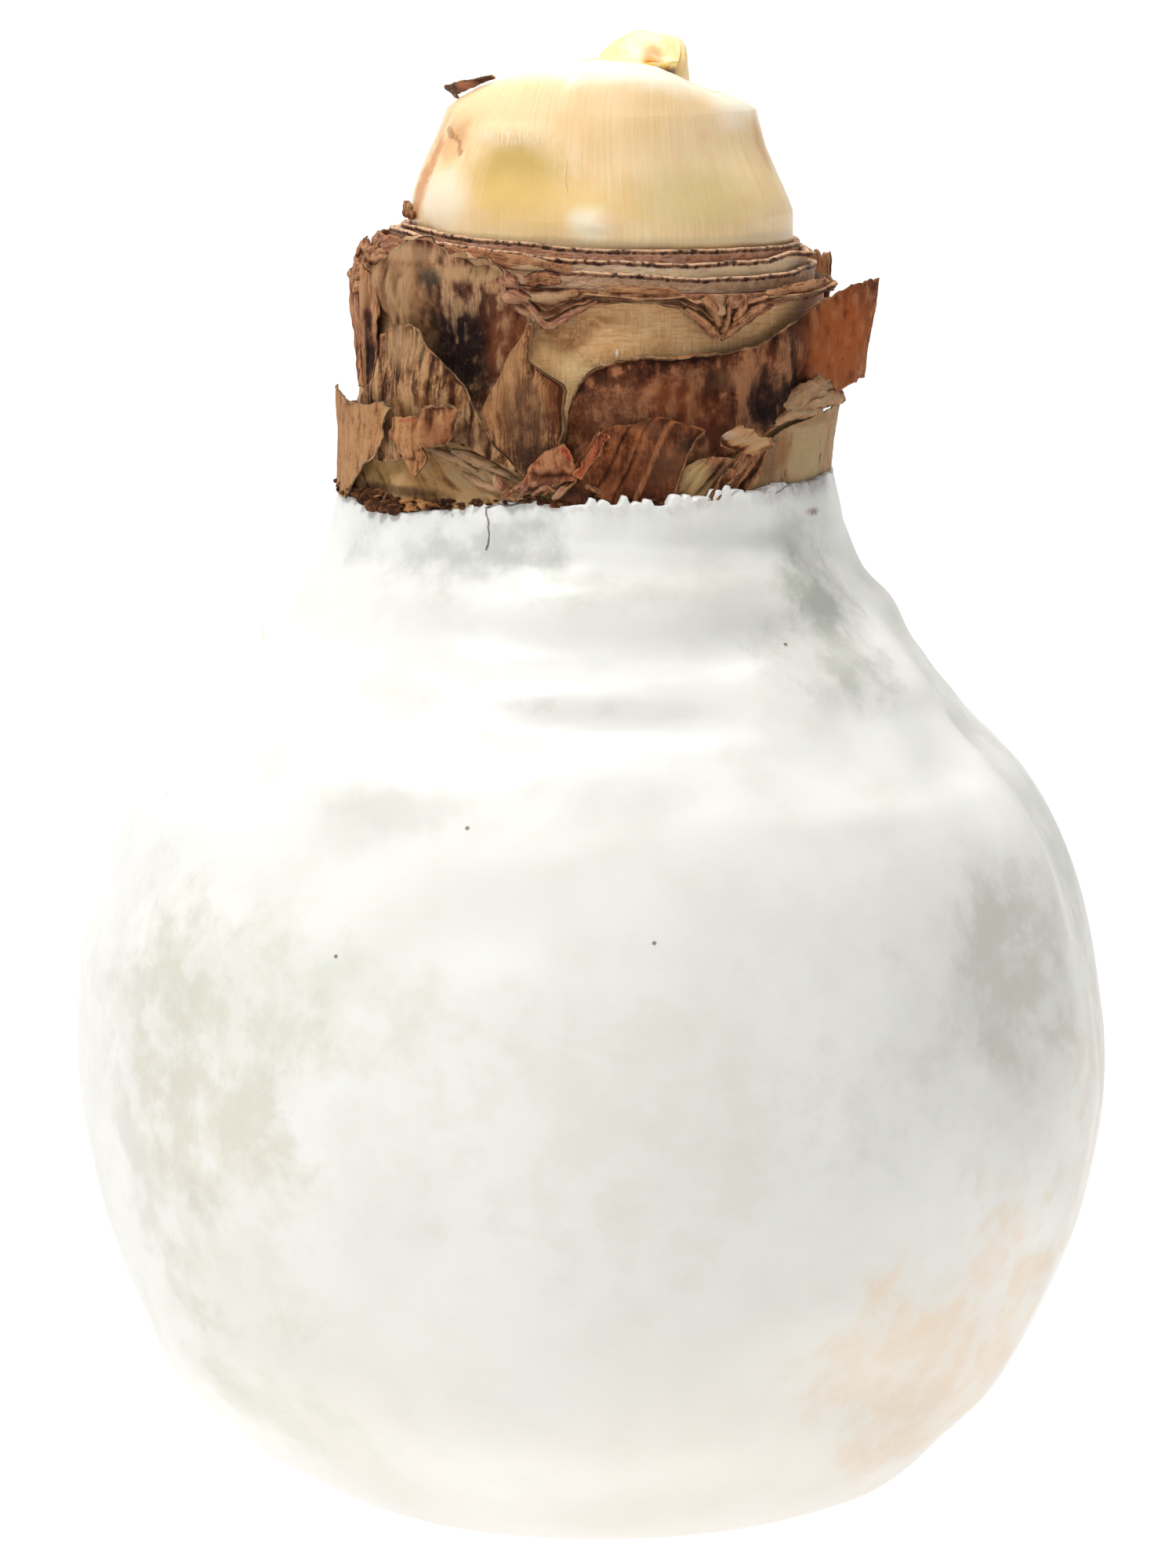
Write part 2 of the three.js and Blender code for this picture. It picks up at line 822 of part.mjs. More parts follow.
    ragged: 0.3,
    seed: 15,
    material: tanPaper,
  },
];

// Behind, the same kinds of skin go on round the neck: flaps that rise from the wax in three levels,
// and skins that hang from the hem.
const backFlaps = { count: 8, start: 118, spacing: 17.4, foot: 110, lifts: [0.1, 0.5, 1.1] };
const backSkins = { count: 4, start: 120, spacing: 40, waist: 127.5, hem: 129.7, top: 133.4 };

function backSheets() {
  const random = randomStream(41);
  const between = (low, high) => lerp(low, high, random());
  const flaps = Array.from({ length: backFlaps.count }, (_, i) => {
    const { start, spacing, foot, lifts } = backFlaps;
    const place = start + i * spacing + between(-2, 2);
    const half = between(13, 18);
    const lean = between(-7, 7);
    const top = between(117, 122.5);
    const level = 1 + (i % 3);
    const lift = lifts[level - 1];
    const waist = (foot + top) / 2;
    return {
      name: `back_flap_${i + 1}`,
      level,
      first: [
        [place - half, foot, 0],
        [place - 0.9 * half + lean / 2, waist, lift / 2],
        [place - 0.5 * half + lean, top - 0.8, lift],
      ],
      second: [
        [place + half, foot, 0],
        [place + 0.8 * half + lean / 2, waist, lift / 2],
        [place + 0.35 * half + lean, top + 0.8, 1.5 * lift],
      ],
      columns: 8,
      rows: 6,
      ragged: 0.38,
      seed: 30 + i,
      foot: "start",
      material: [brownPaper, tanPaper, brownPaper, redPaper][i % 4],
    };
  });
  const skins = Array.from({ length: backSkins.count }, (_, i) => {
    const { start, spacing, waist, hem, top } = backSkins;
    const place = start + i * spacing;
    const half = between(15, 18);
    const foot = between(123.8, 125);
    return {
      name: `back_skin_${i + 1}`,
      first: [
        [place - 0.5 * half, foot, 0.1],
        [place - half, waist, 0.4],
        [place - half, hem, 1.0],
        [place - 0.9 * half, top, 1.1],
      ],
      second: [
        [place + 0.6 * half, foot + 0.8, 0.1],
        [place + half, waist, 0.4],
        [place + half, hem, 1.0],
        [place + 0.8 * half, top, 1.2],
      ],
      columns: 7,
      rows: 7,
      ragged: 0.5,
      seed: 40 + i,
      material: [tanPaper, brownPaper][i % 2],
    };
  });
  return [...flaps, ...skins];
}

// A dried sliver of skin left along the stump's cut, on the left.
function stumpSliver() {
  const inner = (u, v) => {
    const curl = 0.9 * u * (1 - v);
    const height = 150.2 + 1.2 * u + 0.4 * Math.sin(3 * v);
    return stumpPoint(lerp(-112, -60, v), lerp(17.2, 17.5, v) + curl, height);
  };
  add("stump_sliver", bladeGeometry(inner, inner, 2, 8, paper), brownPaper);
}

waxCoat();
bulbBody();
leafTube();
neckScales();
tornHem();
stumpSliver();
for (const sheet of [...frontSheets, ...backSheets()]) {
  add(sheet.name, sheetGeometry(sheet), sheet.material);
}

export default bulb;
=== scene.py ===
import bpy
import itertools
import math
import re
import numpy as np
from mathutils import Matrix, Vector


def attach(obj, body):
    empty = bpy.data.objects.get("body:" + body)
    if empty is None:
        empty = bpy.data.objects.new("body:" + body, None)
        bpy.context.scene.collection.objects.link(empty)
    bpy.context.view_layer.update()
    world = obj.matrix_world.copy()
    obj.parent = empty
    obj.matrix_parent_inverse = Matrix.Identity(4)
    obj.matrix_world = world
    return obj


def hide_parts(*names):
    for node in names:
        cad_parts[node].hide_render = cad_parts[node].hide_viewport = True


# A flower bulb dipped in white wax up to its cut neck, with torn dry skins round the neck.
# Lengths are in millimetres until a mesh is made. Angles run round the neck, from the front (-Y)
# towards the right (+X), in degrees.
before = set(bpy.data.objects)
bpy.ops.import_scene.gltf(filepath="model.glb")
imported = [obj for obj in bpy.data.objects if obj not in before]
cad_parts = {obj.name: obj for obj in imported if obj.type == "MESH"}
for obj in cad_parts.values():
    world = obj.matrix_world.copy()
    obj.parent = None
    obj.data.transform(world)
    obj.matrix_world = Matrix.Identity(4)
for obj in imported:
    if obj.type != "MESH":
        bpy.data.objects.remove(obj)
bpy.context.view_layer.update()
print("frame loaded")

mm = 0.001
arcRadius = 25  # mm; distances round the neck are told on this circle
neckMiddle = -0.8  # the mean of its centre over its height


def smoothStep(value, low, high):
    share = np.clip((value - low) / (high - low), 0, 1)
    return share * share * (3 - 2 * share)


def wave(x, seed):
    return (0.5 * np.sin(1.7 * x + 1.3 * seed) + 0.3 * np.sin(3.9 * x + 2.1 * seed)
            + 0.2 * np.sin(7.3 * x + 0.7 * seed))


# The same, closed round the neck.
def ringWave(angle, pace, seed):
    turn = np.radians(angle)
    return sum(share * np.sin(round(speed * pace) * turn + shift * seed)
               for share, speed, shift in ((0.5, 1.7, 1.3), (0.3, 3.9, 2.1), (0.2, 7.3, 0.7)))


def turnBetween(a, b):
    return (a - b + 180) % 360 - 180


def hill(distance):
    return np.exp(-distance * distance)


def lerp(a, b, share):
    return a + (b - a) * share


# Smooth random values from -1 to 1 in space, in cells of the given size.
def softNoise(points, size, seed=0):
    cell = np.asarray(points, dtype=float) / size
    low = np.floor(cell).astype(np.int64)
    part = cell - low
    part = part * part * (3 - 2 * part)
    total = np.zeros(cell.shape[:-1])
    for corner in itertools.product((0, 1), repeat=3):
        node = low + np.array(corner)
        mixed = node[..., 0] * 73856093 ^ node[..., 1] * 19349663 ^ node[..., 2] * 83492791
        mixed = (mixed ^ (seed * 7919 + 104729)) & 0x7FFFFFFF
        mixed = ((mixed ^ (mixed >> 13)) * 1274126177) & 0x7FFFFFFF
        value = ((mixed ^ (mixed >> 16)) % 10007) / 5003.0 - 1
        weight = np.ones(cell.shape[:-1])
        for axis in range(3):
            weight = weight * (part[..., axis] if corner[axis] else 1 - part[..., axis])
        total += value * weight
    return total


def roughNoise(points, size, seed=0, octaves=3):
    total = 0
    for k in range(octaves):
        total = total + softNoise(points, size / 2 ** k, seed + 17 * k) / 2 ** k
    return total / (2 - 2 ** (1 - octaves))


# Noise along one line, such as round an edge.
def edgeNoise(x, size, seed=0, octaves=3):
    x = np.asarray(x, dtype=float)
    line = np.stack([x, 0 * x + 0.37, 0 * x + 0.71], -1)
    return roughNoise(line, size, seed, octaves)


# The same, for a closed ring of angles.
def roundNoise(angle, size, seed=0, octaves=3):
    turn = np.radians(angle)
    radius = 57.3  # so that a degree is as long as a unit of size
    ring = np.stack([radius * np.cos(turn), radius * np.sin(turn), 0 * turn + 0.71], -1)
    return roughNoise(ring, size, seed, octaves)


# A smooth curve through the points, read at shares t. With freeEnds it runs on straight at its ends.
def splineAt(points, t, freeEnds=True):
    points = np.asarray(points, dtype=float)
    last = len(points) - 1
    spot = np.clip(np.asarray(t, dtype=float), 0, 1) * last
    k = np.minimum(spot.astype(int), last - 1)
    w = (spot - k)[..., None]
    first = 2 * points[0] - points[1] if freeEnds else points[0]
    final = 2 * points[last] - points[last - 1] if freeEnds else points[last]
    padded = np.vstack([first, points, final])
    p0, p1, p2, p3 = (padded[k + j] for j in range(4))
    t0, t1 = (p2 - p0) / 2, (p3 - p1) / 2
    return p1 + t0 * w + (3 * (p2 - p1) - 2 * t0 - t1) * w ** 2 + (2 * (p1 - p2) + t0 + t1) * w ** 3


def around(angle, radius, height, centreX=0.0, centreY=0.0):
    turn = np.radians(angle)
    x = centreX + radius * np.sin(turn)
    y = centreY - radius * np.cos(turn)
    return np.stack(np.broadcast_arrays(x, y, height), -1)


# Quads over a grid of points, in rows.
def gridFaces(rows, columns, closed=False, start=0):
    wide = columns if closed else columns + 1
    j, i = np.meshgrid(np.arange(rows), np.arange(columns), indexing="ij")
    right = (i + 1) % wide
    a = start + j * wide + i
    b = start + j * wide + right
    c = start + (j + 1) * wide + right
    d = start + (j + 1) * wide + i
    return np.stack([a, b, c, d], -1).reshape(-1, 4)


def makePiece(name, points, faces, materials, slot, masks, node=None, wholeTurn=None):
    mesh = bpy.data.meshes.new(name)
    mesh.from_pydata((np.asarray(points).reshape(-1, 3) * mm).tolist(), [], [list(map(int, f)) for f in faces])
    for label, values in masks.items():
        values = np.asarray(values, dtype=float)
        vector = values.shape[-1] == 3
        inTurn = label == "place" and wholeTurn  # kept by corner, so that it runs on where the ring closes
        mark = mesh.attributes.new(label, "FLOAT_VECTOR" if vector else "FLOAT", "CORNER" if inTurn else "POINT")
        if inTurn:
            owner = np.concatenate([np.full(len(f), k) for k, f in enumerate(faces)])
            values = values.reshape(-1, 3)[np.concatenate([np.asarray(f) for f in faces]).astype(int)].copy()
            highest = np.full(len(faces), -1e9)
            np.maximum.at(highest, owner, values[:, 0])
            values[highest[owner] - values[:, 0] > wholeTurn / 2, 0] += wholeTurn
        mark.data.foreach_set("vector" if vector else "value", values.reshape(-1))
    for material in materials:
        mesh.materials.append(material)
    mesh.shade_smooth()
    mesh.update()
    piece = bpy.data.objects.new(name, mesh)
    bpy.context.scene.collection.objects.link(piece)
    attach(piece, "root")
    if node:
        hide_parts(node)
    return piece


# Makes a thin sheet solid. Its rim takes the second material.
def thicken(piece, thickness):
    solid = piece.modifiers.new("thickness", "SOLIDIFY")
    solid.thickness = thickness * mm
    solid.offset = 0
    solid.use_rim = True
    solid.material_offset_rim = 1


# Faces of a closed tube of rings, with a cap at each end.
def tubeFaces(rings, columns):
    faces = [list(f) for f in gridFaces(rings - 1, columns, closed=True)]
    return faces + [list(range(columns))[::-1], [(rings - 1) * columns + i for i in range(columns)]]


# Places on a piece as seen from outside: distance round it, height.
def placesOf(arcs, heights):
    return np.stack([arcs, heights, 0 * arcs], -1)


# Random numbers between two limits.
def drawsFrom(seed):
    state = seed

    def between(low, high):
        nonlocal state
        state = (state * 1664525 + 1013904223) % 4294967296
        return lerp(low, high, state / 4294967296)

    return between


def newMaterial(name):
    material = bpy.data.materials.new(name)
    material.use_nodes = True
    tree = material.node_tree
    tree.nodes.clear()
    output = tree.nodes.new("ShaderNodeOutputMaterial")
    shader = tree.nodes.new("ShaderNodeBsdfPrincipled")
    tree.links.new(shader.outputs["BSDF"], output.inputs["Surface"])
    return material, tree, shader


# An output socket, or a sum or product of such.
class Signal:
    def __init__(self, socket):
        self.socket = socket
        self.tree = socket.id_data

    def __add__(self, other):
        return calc("ADD", self, other)

    def __sub__(self, other):
        return calc("SUBTRACT", self, other)

    def __mul__(self, other):
        return calc("MULTIPLY", self, other)

    def __truediv__(self, other):
        return calc("DIVIDE", self, other)


def feed(socket, value):
    if isinstance(value, Signal):
        value.tree.links.new(value.socket, socket)
    elif isinstance(value, tuple) and socket.type == "RGBA":
        socket.default_value = (*value, 1)
    else:
        socket.default_value = value


# A new node in the tree of the first signal among the values, which go into the named inputs.
def addNode(kind, values):
    tree = next(value.tree for value in values.values() if isinstance(value, Signal))
    node = tree.nodes.new(kind)
    for label, value in values.items():
        feed(node.inputs[label], value)
    return node


def setLook(shader, colour, roughness, relief, glow, depths, reach, specular=0.5, **others):
    values = {"Base Color": colour, "Roughness": roughness, "Normal": relief, "Specular IOR Level": specular,
              "Subsurface Weight": glow, "Subsurface Radius": depths, "Subsurface Scale": reach * mm}
    for label, value in {**values, **others}.items():
        feed(shader.inputs[label], value)


def calc(operation, a, b=0.0, clamp=False):
    node = addNode("ShaderNodeMath", {0: a, 1: b})
    node.operation = operation
    node.use_clamp = clamp
    return Signal(node.outputs[0])


def vectorCalc(operation, a, b):
    node = addNode("ShaderNodeVectorMath", {0: a, 1: b})
    node.operation = operation
    return Signal(node.outputs[0])


def mixColour(share, a, b):
    tree = next(value.tree for value in (share, a, b) if isinstance(value, Signal))
    node = tree.nodes.new("ShaderNodeMix")
    node.data_type = "RGBA"
    for label, value in (("Factor", share), (6, a), (7, b)):
        feed(node.inputs[label], value)
    return Signal(node.outputs[2])


def spread(value, fromLow, fromHigh, toLow=0.0, toHigh=1.0):
    node = addNode("ShaderNodeMapRange", {"Value": value, "From Min": fromLow, "From Max": fromHigh,
                                          "To Min": toLow, "To Max": toHigh})
    node.interpolation_type = "SMOOTHSTEP"
    return Signal(node.outputs[0])


def ramp(value, stops):
    node = addNode("ShaderNodeValToRGB", {0: value})
    stripe = node.color_ramp
    while len(stripe.elements) < len(stops):
        stripe.elements.new(0.5)
    for element, (place, colour) in zip(stripe.elements, stops):
        element.position = place
        element.color = (*colour, 1)
    return Signal(node.outputs[0])


def mark(tree, label, output="Vector"):
    node = tree.nodes.new("ShaderNodeAttribute")
    node.attribute_name = label
    return Signal(node.outputs[output])


def splitUp(vector):
    return [Signal(output) for output in addNode("ShaderNodeSeparateXYZ", {0: vector}).outputs]


def joinUp(x, y, z=0.0):
    return Signal(addNode("ShaderNodeCombineXYZ", {0: x, 1: y, 2: z}).outputs[0])


# Object coordinates in millimetres.
def spaceOf(tree):
    coordinates = tree.nodes.new("ShaderNodeTexCoord")
    return vectorCalc("MULTIPLY", Signal(coordinates.outputs["Object"]), (1000, 1000, 1000))


def noiseOf(vector, scale, detail=4.0, roughness=0.55, distortion=0.0):
    node = addNode("ShaderNodeTexNoise", {"Vector": vector, "Scale": scale, "Detail": detail,
                                          "Roughness": roughness, "Distortion": distortion})
    return Signal(node.outputs["Fac"])


# Small round spots in some of the cells of a pattern.
def dotsOf(vector, scale, edge, core, few, many):
    cells = addNode("ShaderNodeTexVoronoi", {"Vector": vector, "Scale": scale})
    chance = splitUp(Signal(cells.outputs["Color"]))[0]
    return spread(Signal(cells.outputs["Distance"]), edge, core) * spread(chance, few, many)


# A soft patch of 1 at a place, falling to 0 over its radii, with an uneven border.
def patch(place, x, y, wide, high, uneven, unevenBy):
    px, py, _ = splitUp(place)
    dx, dy = (px - x) / wide, (py - y) / high
    far = calc("SQRT", dx * dx + dy * dy) + (uneven - 0.5) * (unevenBy * 2)
    return spread(far, 1.25, 0.35)


# One colour over the other: share, colour.
def layers(colour, *rows):
    for share, paint in rows:
        colour = mixColour(share, colour, paint)
    return colour


# Patches one over the other: place, half-widths, unevenness, strength, colour.
def patches(colour, place, uneven, *rows):
    for x, y, wide, high, unevenBy, much, paint in rows:
        colour = mixColour(patch(place, x, y, wide, high, uneven, unevenBy) * much, colour, paint)
    return colour


# 1 on a line through the points, falling to 0 half a width away.
def lineMark(place, points, width, wobble, wobbleBy):
    shift = (wobble - 0.5) * (wobbleBy * 2)
    px, py, _ = splitUp(vectorCalc("ADD", place, joinUp(shift, shift)))
    nearest = None
    for (x1, y1), (x2, y2) in zip(points, points[1:]):
        dx, dy = px - x1, py - y1
        length = (x2 - x1) ** 2 + (y2 - y1) ** 2
        along = calc("DIVIDE", dx * (x2 - x1) + dy * (y2 - y1), length, clamp=True)
        ex, ey = dx - along * (x2 - x1), dy - along * (y2 - y1)
        far = calc("SQRT", ex * ex + ey * ey)
        nearest = far if nearest is None else calc("MINIMUM", nearest, far)
    return spread(nearest, width / 2, width / 6)


def bumpOf(height, distance, strength=1.0, before=None):
    values = {"Height": height, "Distance": distance * mm, "Strength": strength}
    return Signal(addNode("ShaderNodeBump", {**values, "Normal": before} if before else values).outputs[0])


view = {
    "camera": (-1.17, -992.5, 199.5),
    "target": (-1.17, 0.0, 77.6),
    "lens": 216.0,  # mm, on a 36 mm long side
}


def placeCamera():
    data = bpy.data.cameras.new("camera")
    camera = bpy.data.objects.new("camera", data)
    bpy.context.scene.collection.objects.link(camera)
    data.sensor_fit = "AUTO"
    data.sensor_width = 36
    data.lens = view["lens"]
    data.clip_start = 0.02
    data.clip_end = 60
    camera.location = Vector(view["camera"]) * mm
    aim = (Vector(view["target"]) - Vector(view["camera"])) * mm
    camera.rotation_euler = aim.to_track_quat("-Z", "Y").to_euler()
    bpy.context.scene.camera = camera


studio = {
    "floorSize": 14.0,  # m
    "floorColour": (0.26, 0.258, 0.255),
    "floorGlow": (0.8, 0.92),  # well in front, and from the bulb backwards
    # strength of the room's own light, by where it comes from
    "roomFront": 0.15,
    "roomBack": 0.15,
    "roomTop": 0.36,
    "horizon": (0.58, 0.8),  # the room is as bright as the floor where they meet, in front and behind
    "roomLeft": 0.1,
    "roomRight": -0.15,
    "lamps": [
        # name, place (m), aim (m), size (m), power (W), colour
        ("topLeftLamp", (-0.4, -0.45, 1.2), (0, 0, 0.09), 0.28, 11.5, (1.0, 0.99, 0.975)),
        ("backLamp", (0.05, 0.45, 1.15), (0, 0, 0.08), 0.7, 10.0, (1.0, 0.99, 0.97)),
    ],
}


def lightRoom():
    scene = bpy.context.scene
    world = bpy.data.worlds.new("room")
    scene.world = world
    world.use_nodes = True
    tree = world.node_tree
    tree.nodes.clear()
    output = tree.nodes.new("ShaderNodeOutputWorld")
    background = tree.nodes.new("ShaderNodeBackground")
    tree.links.new(background.outputs[0], output.inputs[0])
    x, y, z = splitUp(Signal(tree.nodes.new("ShaderNodeTexCoord").outputs["Generated"]))
    back = spread(y, -0.9, 0.6, studio["roomFront"], studio["roomBack"])
    top = spread(z, 0.0, 1.0, 0.0, studio["roomTop"])
    side = spread(x, -1.0, 1.0, studio["roomLeft"], studio["roomRight"])
    strength = back + top + side
    band = spread(y, -0.5, 0.2, *studio["horizon"])
    strength = strength + band * spread(z, 0.3, -0.02)
    feed(background.inputs["Color"], (1.0, 0.998, 0.992))
    feed(background.inputs["Strength"], strength)
    for name, place, aim, size, power, colour in studio["lamps"]:
        data = bpy.data.lights.new(name, "AREA")
        data.shape = "DISK"
        data.size = size
        data.energy = power
        data.color = colour
        lamp = bpy.data.objects.new(name, data)
        lamp.location = place
        lamp.rotation_euler = (Vector(aim) - Vector(place)).to_track_quat("-Z", "Y").to_euler()
        scene.collection.objects.link(lamp)
    scene.view_settings.view_transform = "Standard"
    scene.view_settings.look = "None"


def layFloor():
    material, tree, shader = newMaterial("paleFloor")
    tint = noiseOf(spaceOf(tree), 0.004, 2)
    _, y, _ = splitUp(spaceOf(tree))
    for label, value in (("Base Color", mixColour(tint * 0.06, studio["floorColour"], (0.24, 0.24, 0.238))),
                         ("Roughness", 0.9), ("Specular IOR Level", 0.1), ("Emission Color", (1, 0.995, 0.985)),
                         ("Emission Strength", spread(y, -320.0, -40.0, *studio["floorGlow"]))):
        feed(shader.inputs[label], value)
    half = studio["floorSize"] / 2
    mesh = bpy.data.meshes.new("floor")
    mesh.from_pydata([(-half, -half, 0), (half, -half, 0), (half, half, 0), (-half, half, 0)], [],
                     [(0, 1, 2, 3)])
    mesh.materials.append(material)
    floor = bpy.data.objects.new("floor", mesh)
    bpy.context.scene.collection.objects.link(floor)
    floor.location.z = -0.0004


placeCamera()
lightRoom()
layFloor()
print("camera, light and floor")


clearGap = 0.3
paperStep = 0.9  # one level of dry skin
paperThickness = 0.17
neckLow = {"height": 108, "radius": 25.0, "centre": -1.25}
neckHigh = {"height": 134, "radius": 24.0, "centre": -0.3}
neckFoot = 103.5
scaleStep = 1.0  # from one neck scale to the next
scaleShift = 0.1
scaleTops = [136.1, 135.2, 133.6, 132.0]


def neckShare(height):
    return (height - neckLow["height"]) / (neckHigh["height"] - neckLow["height"])


def neckRadius(height):
    return lerp(neckLow["radius"], neckHigh["radius"], neckShare(height))


def neckCentre(height):
    return lerp(neckLow["centre"], neckHigh["centre"], neckShare(height))


def neckPoint(angle, standOff, height):
    return around(angle, neckRadius(height) + standOff, height, neckCentre(height))


def scalePoint(angle, scalesIn, inset, height):
    radius = neckRadius(height) - scalesIn * scaleStep - inset
    return around(angle, radius, height, neckCentre(height) + scalesIn * scaleShift)


def scaleTop(index, angle):
    turn = np.radians(angle)
    return scaleTops[index] - 0.9 * np.sin(turn) + 0.28 * ringWave(angle, 3, index + 2)


# Height of the wax edge before its small teeth.
def rimAt(angle):
    turn = np.radians(angle)
    dip = hill(turnBetween(angle, -48) / 22) + 0.5 * hill(turnBetween(angle, 17) / 16)
    return 110.3 + 0.9 * np.sin(turn) - 0.2 * np.cos(turn) - dip + 0.25 * ringWave(angle, 4, 3)


